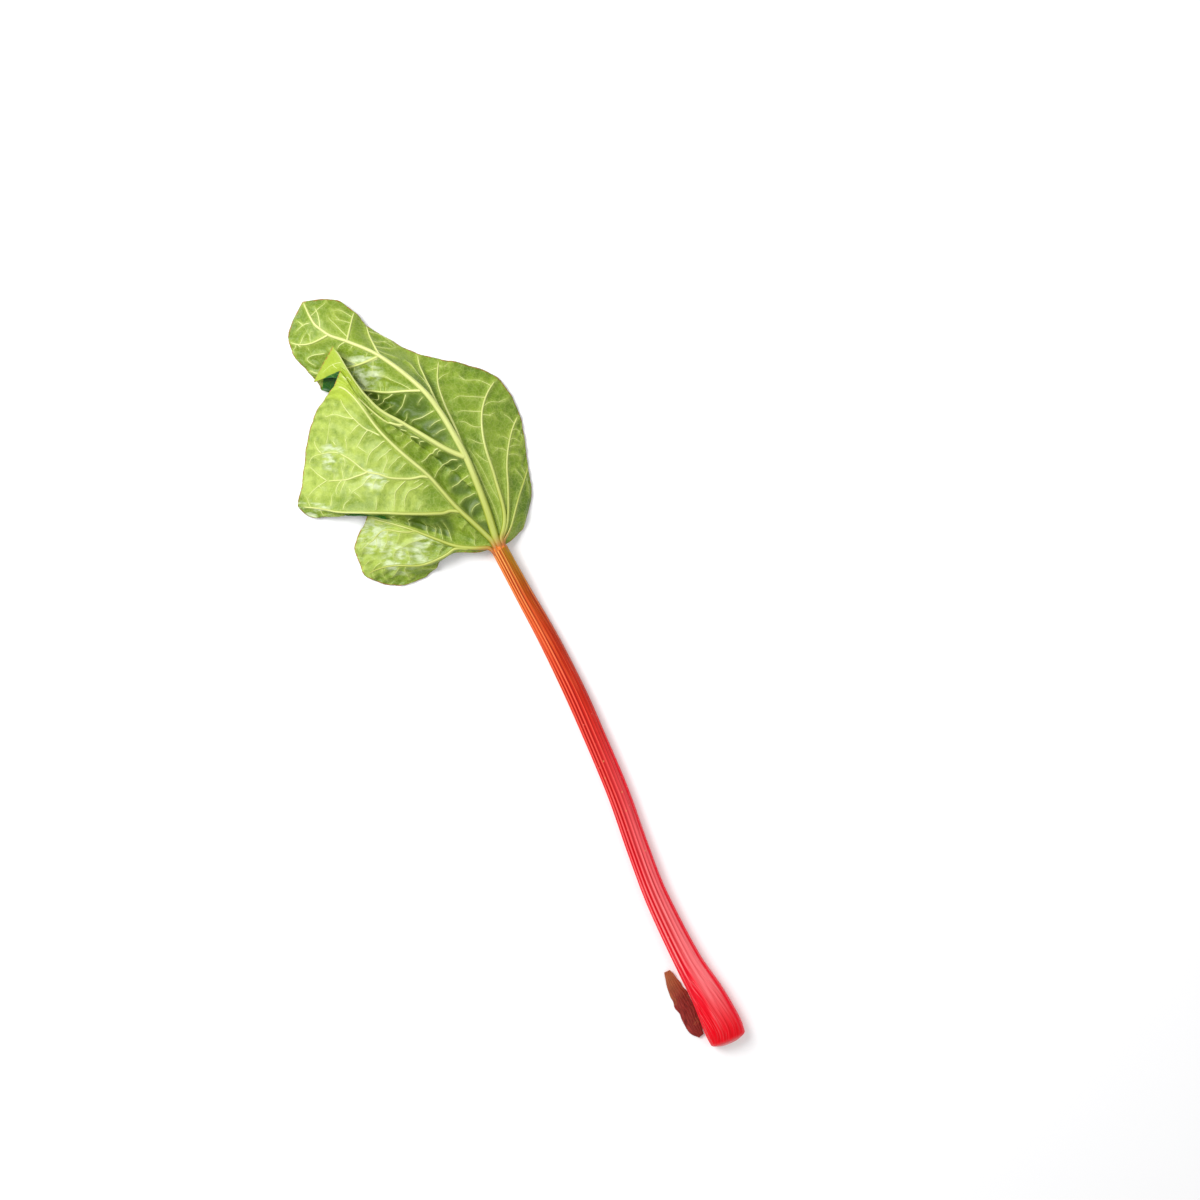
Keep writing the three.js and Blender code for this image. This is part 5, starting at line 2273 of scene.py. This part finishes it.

# Small veins, each given by the spots it passes over.
VEIN_GROUPS = (
    VeinGroup(
        Side.LEFT, (1, 3.5),
        middling=(
            ((-131.5, 82), (-134, 78.5), (-137.5, 74)),
            ((-146, 85.5), (-150.5, 83), (-153.5, 78.5), (-152.5, 73.5)),
        ),
        fine=(
            ((-129, 97), (-128.5, 92.5)), ((-124.5, 95), (-122.5, 89), (-123, 83)),
            ((-141.5, 84), (-143.5, 79)), ((-156, 87), (-159.5, 83.5), (-161, 81)),
            ((-109, 87), (-111.5, 91.5), (-116, 95)), ((-96.5, 99.5), (-99, 95), (-100.5, 90)),
        ),
    ),
    VeinGroup(
        Side.LEFT, (1.5, 5),
        middling=(
            (
                (-111, 104.5), (-117, 103), (-122.5, 101.5), (-129, 97.5), (-134, 95.5), (-136, 91.5),
                (-135.5, 87),
            ),
            ((-140, 111), (-140.5, 103), (-142.5, 99), (-145, 94.5)),
            ((-154, 102.5), (-157.5, 100), (-160.5, 97.5), (-162.5, 93.5)),
        ),
        fine=(
            ((-104.5, 102.5), (-106.5, 100), (-109, 97.5)), ((-130, 110), (-131, 105.5), (-134, 100.5)),
            ((-150.5, 106), (-149, 100.5), (-151.5, 95)),
        ),
    ),
    VeinGroup(
        Side.LEFT, (4.8, 8.2),
        middling=(
            ((-145.5, 112), (-148, 114.5), (-151, 116), (-155.5, 114)),
        ),
        fine=(
            ((-122, 120.5), (-122.5, 117), (-123, 113.5)), ((-134.5, 123), (-135.5, 120.5), (-136, 118)),
            ((-106.5, 105.5), (-109.5, 112.5), (-111.5, 118)), ((-96.5, 103.5), (-98, 110.5), (-101, 116)),
            ((-89.5, 102.5), (-92.5, 112), (-97, 118.5)),
        ),
    ),
    VeinGroup(
        Side.LEFT, (8, 10.4),
        middling=(
            ((-178.5, 172.5), (-186.5, 173), (-193, 172), (-200, 170.5), (-203, 167.5), (-204, 163.5)),
            ((-193, 172.5), (-196.5, 176), (-199.5, 182.5), (-198.5, 185)), ((-181, 178.5), (-184.5, 183)),
            ((-189, 151), (-197, 156.5), (-200.5, 160), (-204, 162.5)),
            ((-188.5, 151), (-195, 147), (-201, 142.5), (-205, 138)),
            ((-111, 148.5), (-117.5, 144), (-123, 141.5), (-125.5, 136.5), (-126, 127.5)),
            ((-125, 150), (-130.5, 144.5), (-133.5, 141), (-133.5, 134), (-134, 126.5)),
            ((-151.5, 154), (-158.5, 147.5), (-165, 143), (-169.5, 139.5)),
            ((-176, 150.5), (-179.5, 146.5), (-181, 142), (-179.5, 138)),
        ),
        fine=(
            ((-162.5, 178.5), (-159, 175.5), (-154.5, 172)),
            ((-172, 185.5), (-172, 179.5), (-172.5, 173.5)), ((-191.5, 196.5), (-188.5, 196.5)),
            ((-196, 147.5), (-193, 144)), ((-137.5, 150), (-142, 146.5), (-144, 142)),
            ((-148, 151.5), (-150.5, 147.5), (-151.5, 143)),
            ((-166, 141), (-162.5, 138.5), (-160.5, 136.5)), ((-168.5, 141.5), (-171, 145.5)),
            ((-148.5, 126.5), (-148, 131), (-147.5, 136.5)), ((-185, 130), (-184.5, 136.5), (-183.5, 142)),
            ((-175, 127), (-173.5, 132), (-168.5, 136)), ((-115.5, 126.5), (-114, 130), (-111.5, 132.5)),
            ((-198.5, 135.5), (-197, 138.5)), ((-175, 169), (-173, 164.5), (-175, 159.5)),
            ((-165.5, 162.5), (-168, 158), (-169.5, 154)),
        ),
    ),
    VeinGroup(
        Side.LEFT, (9, 12),
        strong=(
            (
                (-145, 185.5), (-149.5, 187.5), (-154, 190), (-161.5, 195), (-166, 199.5), (-172, 206),
                (-175, 210.5), (-177, 216),
            ),
        ),
        middling=(
            (
                (-165.5, 199), (-169, 199.5), (-174, 200.5), (-182, 203), (-186.5, 202), (-189, 201),
                (-191, 204.5),
            ),
            ((-161, 194.5), (-165.5, 191), (-169.5, 186.5)),
            ((-154.5, 190), (-159, 184.5), (-162.5, 178.5), (-165.5, 175)),
            ((-141, 181), (-145.5, 178), (-151, 174), (-154, 170), (-155.5, 164.5), (-157, 160)),
        ),
        fine=(
            ((-91.5, 143), (-88.5, 139), (-88.5, 135.5)), ((-150.5, 188), (-152, 186.5), (-153.5, 185)),
            ((-135.5, 175), (-140, 171.5), (-145, 168.5), (-147.5, 164.5)),
            ((-128.5, 169), (-133, 165.5), (-137, 162), (-139, 158)),
            ((-124.5, 164), (-128, 160.5), (-130.5, 157)),
        ),
    ),
    VeinGroup(
        Side.LEFT, (12, 15),
        strong=(
            ((-99, 175.5), (-102.5, 174), (-107, 171), (-115, 164)),
            ((-75.5, 154.5), (-82, 150.5), (-88, 146), (-90.5, 143.5)),
        ),
        middling=(
            ((-174.5, 232), (-171, 229), (-166.5, 226.5)),
            ((-114, 183.5), (-119.5, 182), (-123.5, 179.5), (-128.5, 175)),
            ((-84.5, 167), (-90.5, 166), (-96.5, 163), (-101, 157), (-103.5, 151)),
            ((-70, 140.5), (-74.5, 138.5), (-79.5, 136.5), (-82, 134), (-84, 131)),
            ((-67, 132.5), (-71, 130.5), (-73.5, 127), (-74, 123.5)),
        ),
        fine=(
            ((-110, 181), (-113, 178.5), (-115.5, 176)), ((-81, 162.5), (-85.5, 159), (-92.5, 154.5)),
            ((-73, 149), (-76, 148), (-78, 146.5)), ((-63, 120), (-65, 119.5), (-66.5, 118.5)),
            ((-124, 189), (-127.5, 186), (-131, 184.5)), ((-128, 192), (-132.5, 191), (-138, 190)),
            ((-150.5, 203.5), (-152, 202), (-154.5, 201)),
        ),
    ),
    VeinGroup(
        Side.LEFT, (13, 18),
        middling=(
            ((-147.5, 218.5), (-152, 215), (-154, 211.5)),
        ),
        fine=(
            ((-153.5, 220), (-156.5, 218.5), (-158.5, 216.5)),
        ),
    ),
    VeinGroup(
        Side.LEFT, (13.4, 15.4),
        middling=(
            ((-182.5, 242.5), (-180, 239.5), (-178, 237)),
        ),
        fine=(
            ((-97, 174), (-100, 171), (-102.5, 169.5)),
        ),
    ),
    VeinGroup(
        Side.LEFT, (15, 18.5),
        middling=(
            ((-135.5, 219), (-139.5, 216.5), (-143.5, 214.5), (-148, 208.5)),
            ((-125, 218), (-127, 212), (-130.5, 206.5), (-134, 202.5)),
            ((-102.5, 205), (-106.5, 203), (-111, 200.5), (-120, 197.5), (-121.5, 194.5)),
        ),
        fine=(
            ((-141, 220.5), (-141, 223.5), (-141, 226)), ((-145.5, 220.5), (-145.5, 223), (-147, 226)),
            ((-111.5, 215.5), (-114.5, 212.5), (-115.5, 210)),
            ((-97, 198), (-101, 196.5), (-104.5, 194), (-106.5, 192)),
            ((-93, 191), (-98.5, 189), (-102.5, 186)),
        ),
    ),
    VeinGroup(
        Side.LEFT, (18.5, 21),
        strong=(
            ((-173.5, 260), (-178, 258), (-180.5, 254)),
            ((-147, 246.5), (-153.5, 244.5), (-161, 243), (-168.5, 241), (-171.5, 238)),
        ),
        middling=(
            ((-210, 257.5), (-213, 260), (-216.5, 262)),
            ((-190.5, 252), (-196.5, 251.5), (-202, 250.5), (-205.5, 247), (-202, 244.5), (-198.5, 242.5)),
            ((-167.5, 257), (-170, 253.5)),
        ),
        fine=(
            ((-204.5, 256.5), (-203, 254)), ((-155.5, 251), (-157.5, 247.5)),
        ),
    ),
    VeinGroup(
        Side.LEFT, (19.5, 24),
        middling=(
            ((-203, 276), (-207.5, 275), (-211, 272.5), (-214.5, 269.5)),
            ((-208, 274.5), (-211, 277), (-214, 278.5)),
        ),
        fine=(
            ((-194.5, 271.5), (-195, 269)),
        ),
    ),
    VeinGroup(
        Side.RIGHT, (12, 16),
        strong=(
            ((-194, 271.5), (-195, 279), (-197, 285), (-199.5, 289)),
        ),
    ),
)

# Where the midrib and the ribs from the junction come up out of the stalk.
MIDRIB_APPROACH = ((-38.4, 75.6, 11.6), (-44.1, 86.2, 13.1), (-48.8, 93.9, 13.2))
LOWER_APPROACH = ((-45.6, 76.3, 11.6), (-50.4, 85.1, 12.8), (-54.2, 91.6, 13))
RIGHT_APPROACH = ((-38.6, 80.1, 11.8), (-43.4, 88.9, 12.8), (-46.8, 95.4, 12.8))
APPROACHES = {
    Side.LEFT: {
        5: LOWER_APPROACH,
        12: ((-41.6, 73.9, 11.6), (-47.3, 84.4, 13.2), (-52.2, 92.3, 13.6)),
    },
    Side.RIGHT: {spoke_number: RIGHT_APPROACH for spoke_number in (2, 3, 4)},
}

# Where ribs leave other ribs.
FORKS = {
    Side.LEFT: {
        2: Fork((-76, 97), 5, 0.36),
        8: Fork((-82.5, 126), 12, 0.385),
    },
    Side.RIGHT: {},
}

# The small veins' finish, with painted shade down their sides and a painted highlight along their crests.
VEIN_FINISH = RibFinish(
    "leaf_vein", rgb(136, 158, 46), rgb(172, 188, 86), rgb(202, 212, 130)
)

# Listed side ribs.
SIDE_RIBS = {
    Side.LEFT: (
        SideRib(
            (
                (-126, 193.8), (-134, 194.6), (-141, 196.5), (-147, 200.8), (-152.5, 205.5),
                (-158, 210.5), (-163, 215.5),
            ),
            2.1, 1.2, (12.6, 15.2),
        ),
        SideRib(
            (
                (-106.5, 152.5), (-118.5, 152), (-131, 151.8), (-138.5, 152.5), (-144.5, 154.8),
                (-155, 156.8), (-159.5, 159.5), (-165, 164), (-170.5, 168), (-178, 172.2),
            ),
            2.6, 1.0, (8.4, 12.2),
        ),
        SideRib(
            (
                (-155, 156.8), (-159.5, 155), (-165.5, 153.2), (-171, 151.2), (-176.5, 150.8),
                (-182, 150.6), (-188.5, 150.3),
            ),
            1.7, 0.9, (8.4, 11),
        ),
        SideRib(
            (
                (-117, 109.4), (-121, 109.8), (-129, 110.2), (-139, 111.4), (-144.3, 111),
                (-149, 107.8), (-153, 102.9), (-158, 101.5),
            ),
            1.7, 0.9, (3.4, 5.3),
        ),
    ),
    Side.RIGHT: (),
}


# Parts of the left half where light, sheen and shade are painted into the colour, under the name that the
# material reads.
PATCHES = {
    # painted light on the bright flaps by the notch
    "lit": (
        Patch((-182, 250), 26, (13.6, 15.8)),
        Patch((-198, 232), 15, (12.4, 15.2)),
        Patch((-176, 226), 20, (11.4, 15)),
    ),
    # a painted pale sheen
    "bloom": (
        Patch((-160, 236), 20, (17, 19.6)),
        Patch((-150, 106), 20, (3, 6)),
        Patch((-110, 97), 16, (2, 5)),
        Patch((-203, 130), 22, (6.4, 8.2)),
        Patch((-132, 88), 16, (1, 4)),
        Patch((-150, 152), 12, (8, 10)),
        Patch((-185, 170), 14, (8, 11)),
    ),
    # the shade of a fold
    "shade": (
        Patch((-122, 206), 20, (15.2, 19)),
        Patch((-104, 186), 16, (14.8, 18)),
        Patch((-90, 166), 13, (13.2, 17)),
        Patch((-82, 148), 13, (10.3, 13.2)),
        Patch((-74, 130), 12, (10.2, 13)),
        Patch((-66, 112), 10, (10, 13)),
        Patch((-138, 208), 17, (15.4, 18)),
        Patch((-152, 214), 15, (16, 18)),
        Patch((-112, 186), 13, (13, 14.6)),
        Patch((-128, 196), 11, (13.2, 14.9)),
        Patch((-95, 168), 12, (13, 14.2)),
        Patch((-98, 112), 13, (5.6, 7.8)),
        Patch((-116, 116), 14, (5.4, 7.6)),
        Patch((-203, 222), 14, (16, 19)),
    ),
    # painted light: yellow green, away from the folds
    "sunny": (
        Patch((-186, 206), 40, (8, 12.5)),
        Patch((-196, 160), 36, (6, 12)),
        Patch((-160, 160), 34, (8, 12)),
        Patch((-130, 135), 26, (8, 12)),
        Patch((-165, 105), 40, (0, 5.4)),
        Patch((-135, 110), 30, (0, 5.4)),
    ),
}

# Pale scars in the stalk's skin: share of the length, angle from the right edge, radius.
NICKS = (
    (0.335, 168, 0.9),
    (0.43, 96, 0.5),
    (0.46, 120, 0.5),
    (0.495, 70, 0.45),
    (0.53, 84, 0.45),
    (0.72, 150, 0.6),
    (0.61, 60, 0.4),
)


def main() -> None:
    """Build the studio, the leaf, the stalk and the dry sheath."""
    logging.basicConfig(level=logging.INFO, format="%(name)s %(message)s")
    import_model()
    Studio().build()
    Leaf(HALVES, SIDE_RIBS, FORKS, APPROACHES, VEIN_GROUPS, PATCHES).build()
    Stalk(STALK_PLACES, NICKS).build()
    DrySheath(SHEATH_PLACES).build()
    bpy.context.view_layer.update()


if __name__ == "__main__":
    main()
